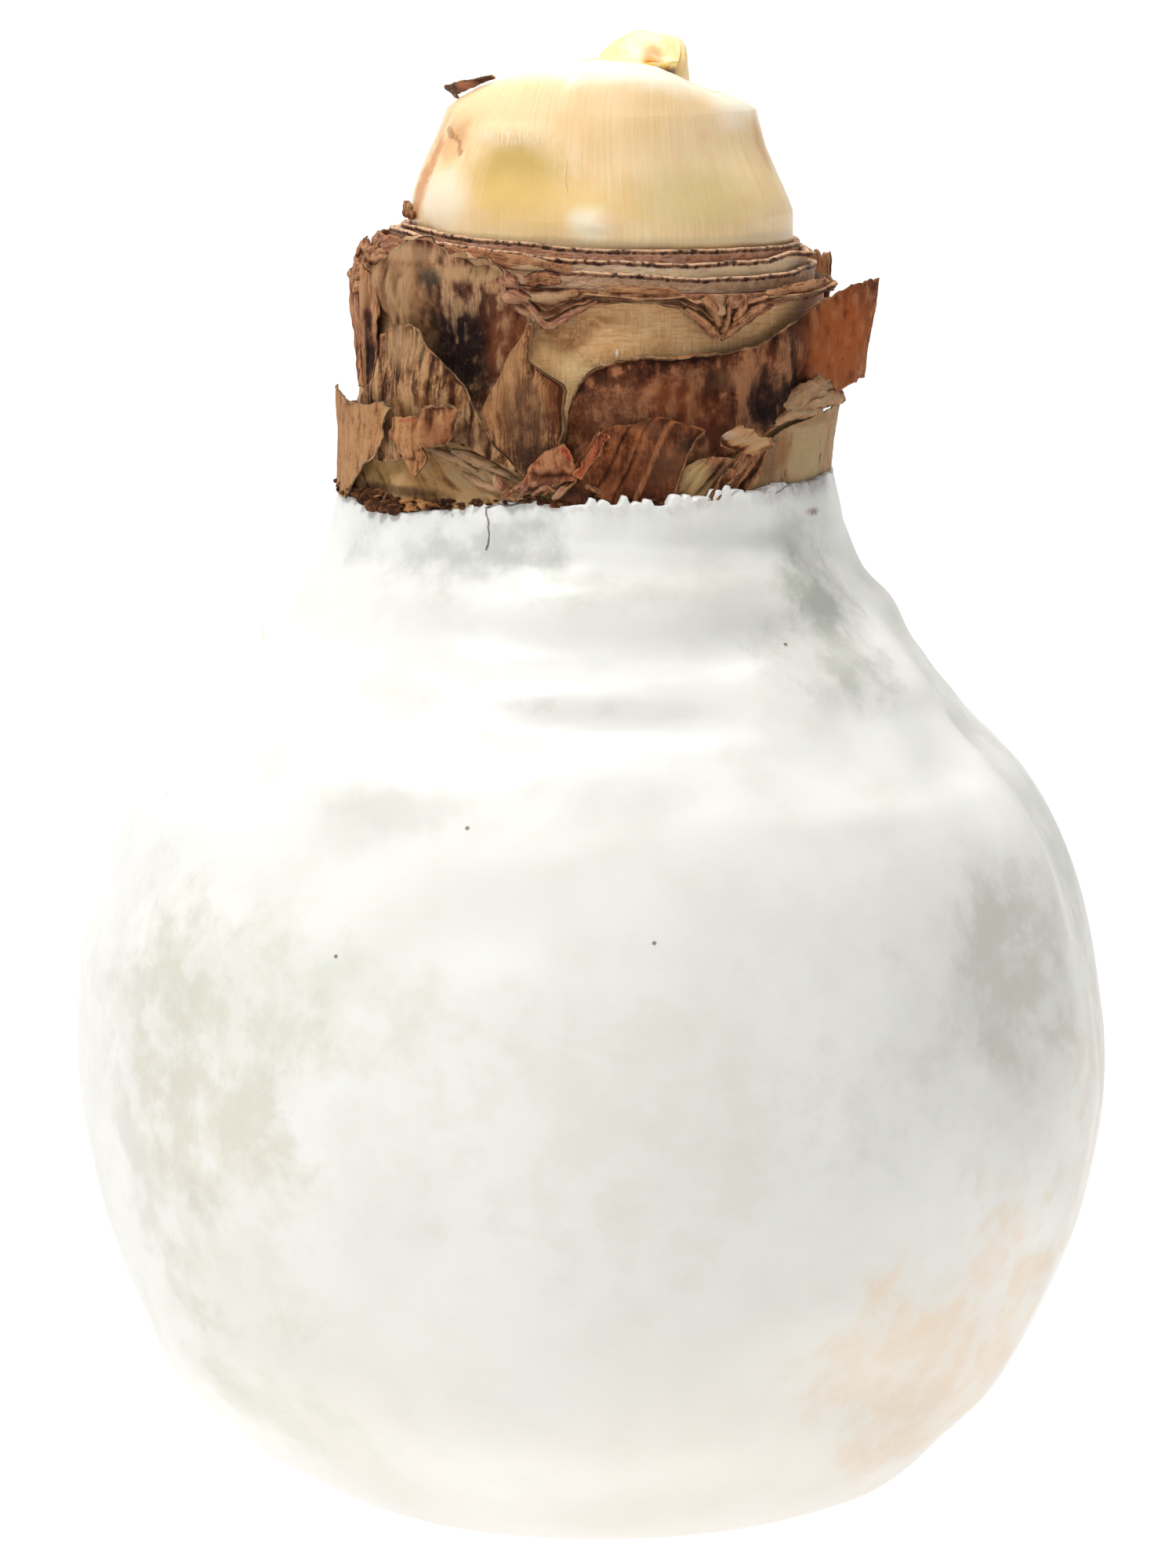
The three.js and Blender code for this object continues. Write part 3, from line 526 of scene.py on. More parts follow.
waxCoat = {
    "frontColumns": 345,
    "backColumns": 205,
    "bodyRows": 118,
    "rimRows": 28,
    "wall": 2,
    # half-widths of the body on its left and right, at heights above the floor
    "stations": [
        (0, 18.5, 18.5), (0.9, 23.6, 24.2), (4, 30.9, 32), (9, 38.6, 37.6), (15, 45.4, 43),
        (24, 49.8, 47.9), (36, 53.5, 52.1), (48, 55.5, 53.8), (60, 55, 52.7), (70, 51.9, 50.2),
        (78, 48.8, 46), (85, 43.1, 39.6), (92, 36.9, 34.2), (98, 32.4, 29.6), (104, 29.3, 26.5),
        (110.6, 27.7, 25),
    ],
    # dents and swellings: angle, height, spread round, spread up, rise
    "lumps": [
        (8, 100.5, 36, 2.8, 0.9), (15, 96, 38, 2.8, -0.9), (2, 91.5, 17, 2, 0.7),
        (-4, 88.2, 17, 2.2, -0.8), (-10, 83.5, 28, 3.2, 0.9), (-50, 85.5, 12, 3, 1),
        (-32, 81.5, 10, 3, 0.8), (-33, 76, 10, 3.4, -0.9), (-52, 54, 12, 8, -1.5),
        (-36, 60, 14, 4, -0.7), (-10, 62.5, 8, 3.5, 0.6), (52, 60, 9, 8, -1.7),
        (66, 74, 5, 22, 1.2), (78, 76, 7, 18, -0.9), (38, 18.5, 10, 5, -1.1),
        (50, 9.5, 10, 4, 1.1), (-43, 14.5, 14, 6, -1.2), (-63, 20, 11, 6, 0.7),
        (-15, 18, 15, 9, 0.8), (70, 31, 4, 10, 0.9), (79, 28, 4, 9, -0.8),
        (88, 97, 12, 2.4, 0.8), (-86, 95.5, 10, 2.2, 0.7), (118, 58, 13, 10, -1.3),
        (140, 84, 22, 3.4, 0.9), (150, 30, 16, 9, 0.9), (172, 68, 12, 9, -1.2),
        (176, 96, 34, 2.8, -0.8), (180, 101, 40, 2.6, 0.8), (200, 44, 12, 12, 1),
        (214, 80, 14, 5, -1), (236, 62, 11, 9, 0.9), (246, 26, 12, 7, -1.2),
        (132, 13, 14, 5, -1),
    ],
    # narrower laps and dents that the dipping left, on top of the lumps
    "laps": [
        (-8, 105.6, 30, 0.9, 0.22), (24, 103, 26, 0.9, -0.25), (-22, 99, 16, 1, 0.25),
        (30, 98.6, 20, 0.9, 0.3), (-2, 94.4, 18, 0.9, -0.2), (6, 90, 13, 0.7, 0.35),
        (-16, 87, 9, 0.8, -0.3), (10, 85.9, 14, 0.8, 0.25), (44, 88.5, 7, 2.6, -0.55),
        (52, 92.6, 6, 1.6, 0.4), (-30, 92.5, 8, 1.2, 0.3), (-44, 90, 9, 1.4, -0.35),
        (36, 79, 16, 1.6, 0.35), (-40, 71, 10, 2.6, -0.4), (60, 82, 6, 4, -0.5),
        (-64, 88, 3.2, 1.5, 0.7), (-87, 94.8, 6, 0.8, 0.6), (-84, 92.8, 6, 1.2, -0.3), (24, 52, 9, 5, -0.3),
        (-24, 42, 12, 5, 0.3),
        (8, 33, 14, 6, -0.3), (60, 40, 8, 7, 0.35), (-70, 48, 4, 9, -0.45),
        (74, 50, 3, 10, 0.5), (-72, 34, 7, 5, 0.35), (30, 28, 8, 3, 0.3),
        (128, 92, 20, 1.4, 0.35), (196, 88, 18, 1.6, -0.35), (232, 97, 20, 1.2, 0.3),
        (164, 50, 9, 8, -0.4), (222, 20, 8, 6, 0.4), (104, 36, 7, 7, 0.35),
    ],
    # white teeth along the rim: angle, height above the rim, half-width in degrees
    "teeth": [
        (0, 0.8, 0.8), (2.6, 0.5, 1.2), (7, 0.95, 0.7), (10, 0.3, 1), (12.2, 0.7, 0.9), (18.3, 1, 1.3),
        (21, 0.8, 0.9), (24.5, 0.3, 1.6), (28.3, 0.9, 0.9), (30.4, 1.3, 1), (33.6, 0.55, 1.4), (-14, 0.3, 1.2),
        (-19.5, 0.4, 1.5), (-27, 0.3, 1.4),
    ],
    # along and across the wax: width, points
    "cracks": [
        (0.2, [(-11, 109.3), (-10.8, 107.2), (-10.9, 105)]),
        (0.26, [(-11, 109.2), (-9.4, 109.8), (-8.3, 109.7), (-6.4, 110.1), (-5.2, 110.4)]),
        (0.2, [(20, 110.3), (24.2, 111.1), (29.5, 111.9)]),
    ],
    # where the wax laps over the feet of the skins: from, to, how far out
    "overlap": (-6, 44, 0.75),
    # painted shade and painted dark reflections in grey patches, with warm tints low down: distance round, height,
    # half-widths, strength, colour
    "shadeAndTintZones": [
        (24, 62, 5.5, 10, 0.62, (0.52, 0.52, 0.46)), (25.5, 58, 9, 17, 0.35, (0.66, 0.65, 0.58)),
        (35, 70, 4, 26, 0.42, (0.52, 0.52, 0.48)), (33, 42, 5, 18, 0.5, (0.7, 0.58, 0.45)),
        (-22.3, 53, 7.5, 13, 0.75, (0.6, 0.57, 0.48)), (-20, 60, 13, 7.5, 0.55, (0.66, 0.67, 0.57)),
        (-20.5, 38, 6, 12, 0.5, (0.7, 0.67, 0.57)), (-14, 105.6, 11, 4.2, 0.9, (0.52, 0.53, 0.5)),
        (-26, 105, 5, 3.5, 0.6, (0.5, 0.52, 0.5)), (21, 104.5, 6, 5, 0.6, (0.56, 0.57, 0.52)),
        (1.9, 47, 10, 14, 0.36, (0.68, 0.69, 0.6)),
        (13.5, 51.7, 4, 7, 0.4, (0.66, 0.66, 0.61)), (14.6, 23.3, 4.5, 5, 0.45, (0.76, 0.65, 0.52)),
        (23, 22, 9, 13, 0.7, (0.82, 0.66, 0.5)), (-20.7, 16, 6, 7, 0.6, (0.7, 0.71, 0.6)),
        (-25.5, 47, 4, 20, 0.5, (0.62, 0.6, 0.52)),
        (24, 14, 8, 8, 0.45, (0.78, 0.66, 0.54)),
        (5, 101.6, 12, 2, 0.5, (0.62, 0.64, 0.55)), (22.7, 101, 4.5, 5.5, 0.95, (0.46, 0.47, 0.42)),
        (20, 93.6, 6, 4.6, 0.75, (0.5, 0.51, 0.46)), (-2, 90.2, 7.5, 1.2, 0.5, (0.58, 0.59, 0.54)),
        (-17, 96, 8, 8, 0.35, (0.66, 0.67, 0.62)), (-10.6, 80.4, 4.5, 2.8, 0.42, (0.64, 0.65, 0.6)),
        (-32, 60, 5, 34, 0.42, (0.72, 0.7, 0.7)), (14, 106.4, 12, 2, 0.35, (0.66, 0.67, 0.62)),
        (64, 60, 9, 14, 0.42, (0.66, 0.65, 0.56)), (-62, 38, 10, 12, 0.4, (0.7, 0.68, 0.58)),
        (76, 92, 12, 4, 0.4, (0.66, 0.66, 0.6)), (46, 88, 6, 6, 0.4, (0.64, 0.64, 0.59)),
    ],
}


def bodyOutline(angle, t):
    stations = np.array(waxCoat["stations"], dtype=float)
    left = splineAt(stations[:, [1, 0]], t, freeEnds=False)
    right = splineAt(stations[:, [2, 0]], t, freeEnds=False)
    return lerp(left, right, ((1 + np.sin(np.radians(angle))) / 2)[..., None])


def lumpsAt(angle, height, lumps):
    rise = 0
    for where, up, wide, high, much in lumps:
        rise = rise + much * hill(np.hypot(turnBetween(angle, where) / wide, (height - up) / high))
    return rise * smoothStep(height, 2, 9)


def bodyPoint(angle, t, depth=0.0, fine=True):
    here = bodyOutline(angle, t)
    along = bodyOutline(angle, np.minimum(1, t + 0.01)) - bodyOutline(angle, np.maximum(0, t - 0.01))
    along /= np.linalg.norm(along, axis=-1, keepdims=True)
    rise = lumpsAt(angle, here[..., 1], waxCoat["lumps"]) * (0.6 if depth > 0 else 1) - depth
    if fine:
        rise = rise + 0.45 * (rise + depth) * smoothStep(here[..., 1], 76, 86)
        spot = around(angle, here[..., 0], here[..., 1])
        fade = smoothStep(here[..., 1], 1, 7)
        rise = rise + lumpsAt(angle, here[..., 1], waxCoat["laps"])
        rise = rise + fade * (0.42 * roughNoise(spot, 21, 3, 2) + 0.1 * roughNoise(spot, 7, 5, 2))
        upper = smoothStep(here[..., 1], 74, 82) * (1 - smoothStep(here[..., 1], 105, 109))
        rise = rise + 0.55 * upper * roughNoise(spot * (0.8, 0.8, 1.7), 9, 11, 3)
        low = fade * (1 - smoothStep(here[..., 1], 20, 44))
        rise = rise + 0.28 * low * roughNoise(spot * (1.6, 1.6, 0.7), 11, 9, 2)
    radius = here[..., 0] + along[..., 1] * rise
    height = here[..., 1] - along[..., 0] * rise
    return around(angle, radius, height)


def teethAt(angle):
    rise = 0.18 * roundNoise(angle, 2.4, 31) + 0.22 * roundNoise(angle, 7.0, 33, 2)
    for where, much, wide in waxCoat["teeth"]:
        rise = rise + much * np.exp(-(turnBetween(angle, where) / wide) ** 4)
    fringe = smoothStep(angle, 34, 40) * (1 - smoothStep(angle, 72, 80))
    rise = rise + fringe * (0.5 * np.abs(roundNoise(angle, 0.9, 37, 2)) + 0.25 * roundNoise(angle, 2.2, 39))
    behind = 1 - smoothStep(np.cos(np.radians(angle)), -0.1, 0.4)
    ragged = np.maximum(0, roundNoise(angle, 5.0, 35, 2)) ** 1.5
    return rise + behind * 1.6 * ragged


def waxMaterial():
    material, tree, shader = newMaterial("whiteWax")
    space = spaceOf(tree)
    place = mark(tree, "place")
    rim = mark(tree, "rim", "Fac")
    arc, height, _ = splitUp(place)
    broad = noiseOf(space, 0.028, 3, 0.5)
    small = noiseOf(space, 0.11, 4, 0.6)
    fine = noiseOf(space, 0.5, 4, 0.6)
    mottle = noiseOf(space, 0.13, 6, 0.66, 0.2)
    cloud = spread(noiseOf(space, 0.17, 6, 0.62), 0.38, 0.6, 0.3, 1)
    low = spread(height, 42, 4) * spread(broad, 0.3, 0.6, 0.35, 1)
    colour = layers(
        (0.845, 0.84, 0.81),
        (spread(broad, 0.35, 0.68), (0.805, 0.805, 0.765)),
        (spread(small, 0.45, 0.8, 0, 0.55), (0.755, 0.76, 0.7)),
        (spread(noiseOf(space, 0.055, 6, 0.6), 0.42, 0.66, 0, 0.22), (0.72, 0.725, 0.685)),
        (low * 0.5, (0.86, 0.79, 0.7)),
        (spread(noiseOf(space, 0.07, 2, 0.4, 0.6), 0.6, 0.75, 0, 0.22), (0.83, 0.74, 0.71)))
    # painted shade and dark reflections, with warm tints, in uneven patches over the wax
    for x, y, wide, high, much, paint in waxCoat["shadeAndTintZones"]:
        zone = patch(place, x, y, 1.35 * wide, 1.35 * high, mottle, 1.1)
        colour = mixColour(zone * zone * cloud * much, colour, paint)
    thin = [lineMark(place, line, width, fine, 0.5) for width, line in waxCoat["cracks"]]
    cracks = calc("MAXIMUM", calc("MAXIMUM", thin[0], thin[1]), thin[2])
    holes = dotsOf(space, 0.155, 0.04, 0.022, 0.78, 0.8)
    smudge = patch(place, 26.2, 107.9, 1.7, 0.55, fine, 0.7) * spread(fine, 0.42, 0.6)
    bristle = spread(arc, 15.5, 17.5) * spread(arc, 34, 31) * (rim * spread(fine, 0.35, 0.6, 0.35, 0.9))
    colour = layers(
        colour, (cracks * 0.85, (0.1, 0.075, 0.055)), (holes * 0.8, (0.16, 0.13, 0.1)),
        (smudge * 0.8, (0.23, 0.13, 0.09)),
        (rim * spread(fine, 0.5, 0.7, 0, 0.55), (0.42, 0.3, 0.25)), (bristle, (0.36, 0.33, 0.34)))
    relief = bumpOf(small * 0.7 + fine * 0.1, 0.3, 0.3)
    relief = bumpOf((holes + cracks) * -1, 0.3, 0.8, relief)
    setLook(shader, colour, spread(broad, 0.3, 0.75, 0.33, 0.42), relief, 0.35, (1.0, 0.85, 0.7), 3.0, 0.42, IOR=1.44)
    return material


def makeWaxCoat():
    # columns are closer together in front
    angles = np.concatenate([np.linspace(-75, 80, waxCoat["frontColumns"], endpoint=False),
                             np.linspace(80, 285, waxCoat["backColumns"], endpoint=False)])
    columns = len(angles)
    rowShares = np.concatenate([np.linspace(0, 0.93, waxCoat["bodyRows"], endpoint=False),
                                np.linspace(0.93, 1, waxCoat["rimRows"])])
    t, angle = np.meshgrid(rowShares, angles, indexing="ij")
    outer = bodyPoint(angle, t)
    reach = np.maximum(0, (t - 0.9) / 0.1)
    outer[..., 2] += (rimAt(angle) - 110.6) * reach
    tooth = teethAt(angle)
    outer[..., 2] += tooth * smoothStep(t, 0.955, 1)
    # the last of the wall leans in and rounds over into a thin uneven lip
    lean = smoothStep(t, 0.965, 1) ** 2
    start, end, laps = waxCoat["overlap"]
    over = smoothStep(angle, start - 4, start + 4) * (1 - smoothStep(angle, end - 4, end + 6))
    inward = neckPoint(angle, 1.0 + 1.3 * over + 0.35 * roundNoise(angle, 4, 41, 2), outer[..., 2])
    outer[..., :2] = lerp(outer, inward, (0.55 * lean)[..., None])[..., :2]
    ridge = 0.18 * roundNoise(angle, 3.1, 43) * smoothStep(t, 0.96, 0.99)
    bulge = 0.35 * np.minimum(1, np.maximum(0, tooth)) * smoothStep(t, 0.985, 1)
    outer[..., :2] *= (1 + (ridge + bulge + laps * over * smoothStep(t, 0.95, 0.985)) / 26)[..., None]
    top = outer[-1]
    lipHigh = top[:, 2]
    lip = neckPoint(angles, 0.75, lipHigh + 0.06)
    lipIn = neckPoint(angles, 0.3, lipHigh - 0.35)
    sunk = neckPoint(angles, 0.12, np.minimum(lipHigh - 1.4, rimAt(angles) - 1.2))
    foot = neckPoint(angles, 0.12, neckFoot + 0.1)
    points = np.concatenate([outer, lip[None], lipIn[None], sunk[None], foot[None]])
    arcs = np.broadcast_to(np.radians(turnBetween(angles, 0)) * arcRadius, points.shape[:2])
    rim = np.zeros(points.shape[:2])
    rim[:len(rowShares)] = smoothStep(t, 0.975, 1)
    rim[len(rowShares):] = 1
    faces = tubeFaces(len(points), columns)[:-1]  # open at the top
    makePiece("waxCoat", points, faces, [waxMaterial()], "wax", {"place": placesOf(arcs, points[..., 2]), "rim": rim},
              "wax_coat", 2 * math.pi * arcRadius)


makeWaxCoat()
print("wax coat")


fleshPart = {
    "columns": 300,
    "coreRows": 10,
    "wallRows": 70,
    "coreDepth": 2.35,
    "arcRadius": 19,
    # the stump: height, radius, centre
    "stump": [(138.6, 20, 0.3), (141, 19.55, 0.1), (145.4, 18.4, 0), (149.4, 17.4, 0)],
    # the cut top: share of the way in to the inner leaves, and how far below the crest
    "cutRings": [(0.04, 0.42), (0.15, 0.14), (0.3, 0), (0.43, 0.1), (0.485, 0.62), (0.54, 0.2),
                 (0.7, 0.16), (0.755, 0.7), (0.82, 0.3), (1, 0.34)],
    "cutRows": 64,
    # hollows and swellings of the stump's side: angle, height, spreads, rise
    "dents": [(-30, 144.6, 13, 2.6, -0.45), (-34, 147.6, 16, 0.9, 0.35), (-2, 138.4, 8, 1.6, 0.3),
              (30, 143, 14, 3.5, -0.25), (56, 141, 12, 5, 0.3), (-62, 143, 6, 4, 0.4),
              (-60, 146.6, 4, 1, -0.5), (10, 148.5, 14, 2, 0.2), (130, 144, 16, 3, -0.4),
              (200, 141, 14, 4, 0.4), (250, 146, 12, 2, -0.35)],
}
leafTube = {"x": 4.5, "y": 2.6, "radius": 5.5, "top": 154.2, "slant": 3.1, "highSide": 155}
leafHollow = {"x": 6.5, "y": -0.6, "radius": 1.5, "top": 154.3}
pitFloor = 145.5


def crestAt(angle):
    turn = np.radians(angle)
    slope = 2.15 * np.cos(turn) - 0.7 * np.sin(turn) + 0.8 * np.cos(2 * turn)
    swell = 0.75 * hill(turnBetween(angle, -7) / 30) - 0.45 * hill(turnBetween(angle, 42) / 16)
    return 151.3 + slope + swell + 0.2 * ringWave(angle, 2, 5)


def stumpPoint(angle, radius, height, centre=0.0):
    flat = 1 + 0.008 * np.cos(np.radians(4 * angle)) + 0.008 * ringWave(angle, 2, 8)
    right = np.sin(np.radians(angle))
    radius = radius - 1.0 * smoothStep(height, 138.5, 146) * smoothStep(right, 0.15, 0.95)
    radius = radius - 1.7 * smoothStep(height, 138.5, 152) * smoothStep(-right, 0.15, 0.95)
    return around(angle, radius * flat, height, centre)


def coreRing(angle, share, depth):
    point = bodyPoint(angle, lerp(0.075, 0.9, share), depth, fine=False)
    level = 1 - smoothStep(share, 0, 0.02)
    point[..., 2] = lerp(point[..., 2], depth + 0.3, level)
    return point


def fleshMaterial():
    material, tree, shader = newMaterial("paleFlesh")
    space = spaceOf(tree)
    place = mark(tree, "place")
    arc, height, _ = splitUp(place)
    # fine strands run up the stump
    strands = noiseOf(joinUp(arc * 2.6, height * 0.1), 1.0, 6, 0.65)
    hairs = noiseOf(joinUp(arc * 6.5, height * 0.45), 1.0, 4, 0.6)
    broad = noiseOf(space, 0.14, 3, 0.5)
    small = noiseOf(space, 0.6, 5, 0.6)
    colour = ramp(strands, [(0.28, (0.79, 0.555, 0.28)), (0.5, (0.86, 0.63, 0.34)), (0.72, (0.9, 0.715, 0.45))])
    # painted highlight: near white towards the crest, from lower down on the right
    across = arc + 8.0
    crestHighlight = spread(height + across * across * 0.0045 + small, 152.6, 155.0, 0, 0.92)
    colour = layers(
        colour, (spread(broad, 0.35, 0.68, 0, 0.5), (0.93, 0.755, 0.49)),
        (spread(hairs, 0.56, 0.75, 0, 0.12), (0.97, 0.88, 0.66)), (crestHighlight, (0.975, 0.91, 0.76)))
    # glassy olive and yellow zones, with pale strands over their top that are also a painted highlight along the
    # upper edge of the olive hollow
    colour = patches(
        colour, place, small, (-9.6, 143.2, 7.0, 4.6, 0.25, 0.85, (0.56, 0.375, 0.09)),
        (10.5, 140.8, 9.5, 3.6, 0.35, 0.55, (0.62, 0.5, 0.22)),
        (-6.0, 140.0, 11.0, 3.6, 0.3, 0.55, (0.84, 0.59, 0.21)))
    strandHighlight = patch(place, -10.8, 147.0, 6.6, 0.85, strands, 0.9) * spread(hairs, 0.45, 0.66, 0, 0.8)
    colour = mixColour(strandHighlight, colour, (0.98, 0.94, 0.8))
    # a pale knob with its stain, then places on the left edge and the right one
    colour = patches(
        colour, place, small, (-1.2, 138.4, 2.6, 2.0, 0.3, 0.7, (0.975, 0.9, 0.74)),
        (0.6, 138.9, 1.6, 0.9, 0.5, 0.6, (0.87, 0.58, 0.36)), (-19.0, 140.4, 4.4, 3.4, 0.4, 0.6, (0.93, 0.845, 0.7)),
        (-20.6, 146.4, 3.4, 2.8, 0.55, 0.8, (0.72, 0.4, 0.18)),
        (-25.2, 142.0, 2.6, 6.0, 0.9, 0.9, (0.62, 0.235, 0.05)),
        (25.2, 146.0, 1.9, 3.6, 0.5, 0.7, (0.66, 0.36, 0.14)))
    streaks = patch(place, 0.8, 147.0, 3.4, 3.0, strands, 0.5) * spread(strands, 0.5, 0.66, 0, 0.42)
    colour = mixColour(streaks, colour, (0.83, 0.47, 0.23))
    # a painted highlight high on the right, where the wall turns away from the light, and a small reddish speck
    colour = patches(
        colour, place, small, (19.5, 149.6, 5.0, 2.4, 0.3, 0.6, (0.98, 0.9, 0.75)),
        (13.2, 147.2, 1.0, 0.6, 0.5, 0.25, (0.85, 0.48, 0.28)))
    scar = lineMark(place, [(-23.3, 147.6), (-21.0, 146.8), (-18.2, 145.2)], 0.9, small, 0.5)
    scar = scar * spread(strands, 0.35, 0.58, 0.35, 1)
    split = lineMark(place, [(-3.4, 144.9), (-3.5, 142.9), (-3.3, 141.6)], 0.16, hairs, 0.12)
    behind = spread(calc("ABSOLUTE", arc), 30, 36) * spread(broad, 0.48, 0.66, 0, 0.6)
    dots = dotsOf(space, 0.34, 0.085, 0.05, 0.8, 0.82)
    dry = spread(height + strands * 0.8, 137.6, 136.9)  # the edge just over the scales
    # the cut face: rings of cut scales with darker seams and a few stains
    cutTone = layers(
        (0.96, 0.89, 0.73), (spread(small, 0.35, 0.7), (0.9, 0.77, 0.53)),
        (mark(tree, "seam", "Fac") * 0.75, (0.55, 0.38, 0.17)), (spread(broad, 0.56, 0.7, 0, 0.6), (0.74, 0.5, 0.25)))
    colour = layers(
        colour, (scar * 0.8, (0.36, 0.17, 0.07)), (split * 0.5, (0.52, 0.26, 0.1)), (behind, (0.7, 0.47, 0.24)),
        (dots * 0.7, (0.4, 0.2, 0.08)), (dry * 0.45, (0.62, 0.48, 0.27)), (mark(tree, "cut", "Fac"), cutTone))
    relief = bumpOf(strands + hairs * 0.5 - scar * 1.2, 0.12, 0.45)
    setLook(shader, colour, spread(strands, 0.3, 0.7, 0.3, 0.46), relief, 0.55, (1.0, 0.62, 0.28), 3.6,
            **{"IOR": 1.42, "Coat Weight": 0.2, "Coat Roughness": 0.2})
    return material


def makeFlesh():
    part = fleshPart
    columns = part["columns"]
    angles = np.arange(columns) * 360 / columns
    rings, cuts, seams = [], [], []

    def put(points, cut=0.0, seam=0.0):
        rings.append(points)
        cuts.append(np.full(columns, cut))
        seams.append(np.broadcast_to(seam, columns))

    for row in range(part["coreRows"] + 1):
        put(coreRing(angles, row / part["coreRows"], part["coreDepth"]))
    for height in (neckFoot - 0.4, 112.0, 120.0, 128.0, scaleTop(0, angles)):
        put(scalePoint(angles, 4, 0, height))
    overScales = around(angles, 20.1, scaleTop(0, angles) + 0.5, 0.35)
    stations = np.array(part["stump"])
    side = []
    for share in np.linspace(0, 1, part["wallRows"])[1:]:
        height, radius, centre = splineAt(stations, max(0, (share - 0.14) / 0.86), freeEnds=False)
        point = stumpPoint(angles, radius, height, centre)
        if share < 0.14:
            point = lerp(overScales, stumpPoint(angles, stations[0][1], stations[0][0], stations[0][2]),
                         share / 0.14)
        side.append(point)
    put(overScales)
    shoulder = stumpPoint(angles, stations[-1][1], stations[-1][0])
    for point in side:
        height = point[:, 2]
        rise = sum(much * hill(np.hypot(turnBetween(angles, where) / wide, (height - up) / high))
                   for where, up, wide, high, much in part["dents"])
        flute = 0.1 * roundNoise(angles + 0.2 * height, 6, 51, 3) + 0.05 * roundNoise(angles, 1.6, 57, 2)
        rough = 0.1 * roughNoise(point, 3.2, 59, 2)
        inside = smoothStep(height, 136.9, 138.4)
        out = around(angles, 1.0, 0.0)
        put(point + out * ((rise + flute + rough) * inside)[:, None])
    cutRings = np.array([(0.0, 1.0)] + part["cutRings"])
    spots = np.linspace(0, 1, part["cutRows"])[1:]
    # rows crowd where the low seams are
    spots = np.sort(np.concatenate([spots, [0.455, 0.47, 0.5, 0.515, 0.735, 0.77, 0.785]]))
    pit = around(angles, leafTube["radius"] + clearGap, 0.0, leafTube["x"], leafTube["y"])
    for way in spots:
        drop = np.interp(way, cutRings[:, 0], cutRings[:, 1])
        if way < 0.36:
            drop = (1 - way / 0.36) ** 2.9  # the shoulder rounds over
        height = lerp(crestAt(angles), stations[-1][0], drop)
        point = lerp(shoulder, pit, way)
        seam = np.full(columns, max(hill((way - 0.485) / 0.022), hill((way - 0.755) / 0.022)))
        fade = min(1.0, way * 8) * (1 - smoothStep(way, 0.95, 1))
        rough = 0.22 * roughNoise(point, 4.0, 61, 3) + 0.06 * edgeNoise(point[:, 0] + 30 * way, 0.8, 63, 2)
        point[:, 2] = height + fade * rough
        put(point, cut=float(smoothStep(way, 0.14, 0.34)), seam=seam)
    wall = rings[-1].copy()
    wall[:, 2] = pitFloor
    put(wall, 1.0, 0.0)
    points = np.stack(rings)
    arcs = np.broadcast_to(np.radians(turnBetween(angles, 0)) * part["arcRadius"], points.shape[:2])
    masks = {"place": placesOf(arcs, points[..., 2]), "cut": np.stack(cuts), "seam": np.stack(seams)}
    makePiece("bulbFlesh", points, tubeFaces(len(rings), columns), [fleshMaterial()], "flesh", masks, "bulb",
              2 * math.pi * part["arcRadius"])


makeFlesh()
print("bulb and stump")


def leafMaterial():
    material, tree, shader = newMaterial("youngLeaf")
    space = spaceOf(tree)
    grain = noiseOf(vectorCalc("MULTIPLY", space, (1.2, 1.2, 0.25)), 1.0, 5, 0.6)
    small = noiseOf(space, 0.8, 4, 0.6)
    colour = ramp(grain, [(0.3, (0.88, 0.64, 0.29)), (0.55, (0.92, 0.71, 0.37)), (0.75, (0.94, 0.78, 0.48))])
    stain = patch(mark(tree, "place"), 1.1, 154.5, 1.5, 1.5, small, 0.2)
    # painted shade: the hollow in the top darkens to near black with its depth
    dark = spread(mark(tree, "depth", "Fac") + small * 0.3, 0.35, 0.75, 0, 0.93)
    colour = layers(colour, (stain * 0.95, (0.6, 0.24, 0.012)), (dark, (0.055, 0.022, 0.014)))
    setLook(shader, colour, 0.42, bumpOf(grain, 0.15, 0.4), 0.45, (1.0, 0.62, 0.2), 3.0)
    return material


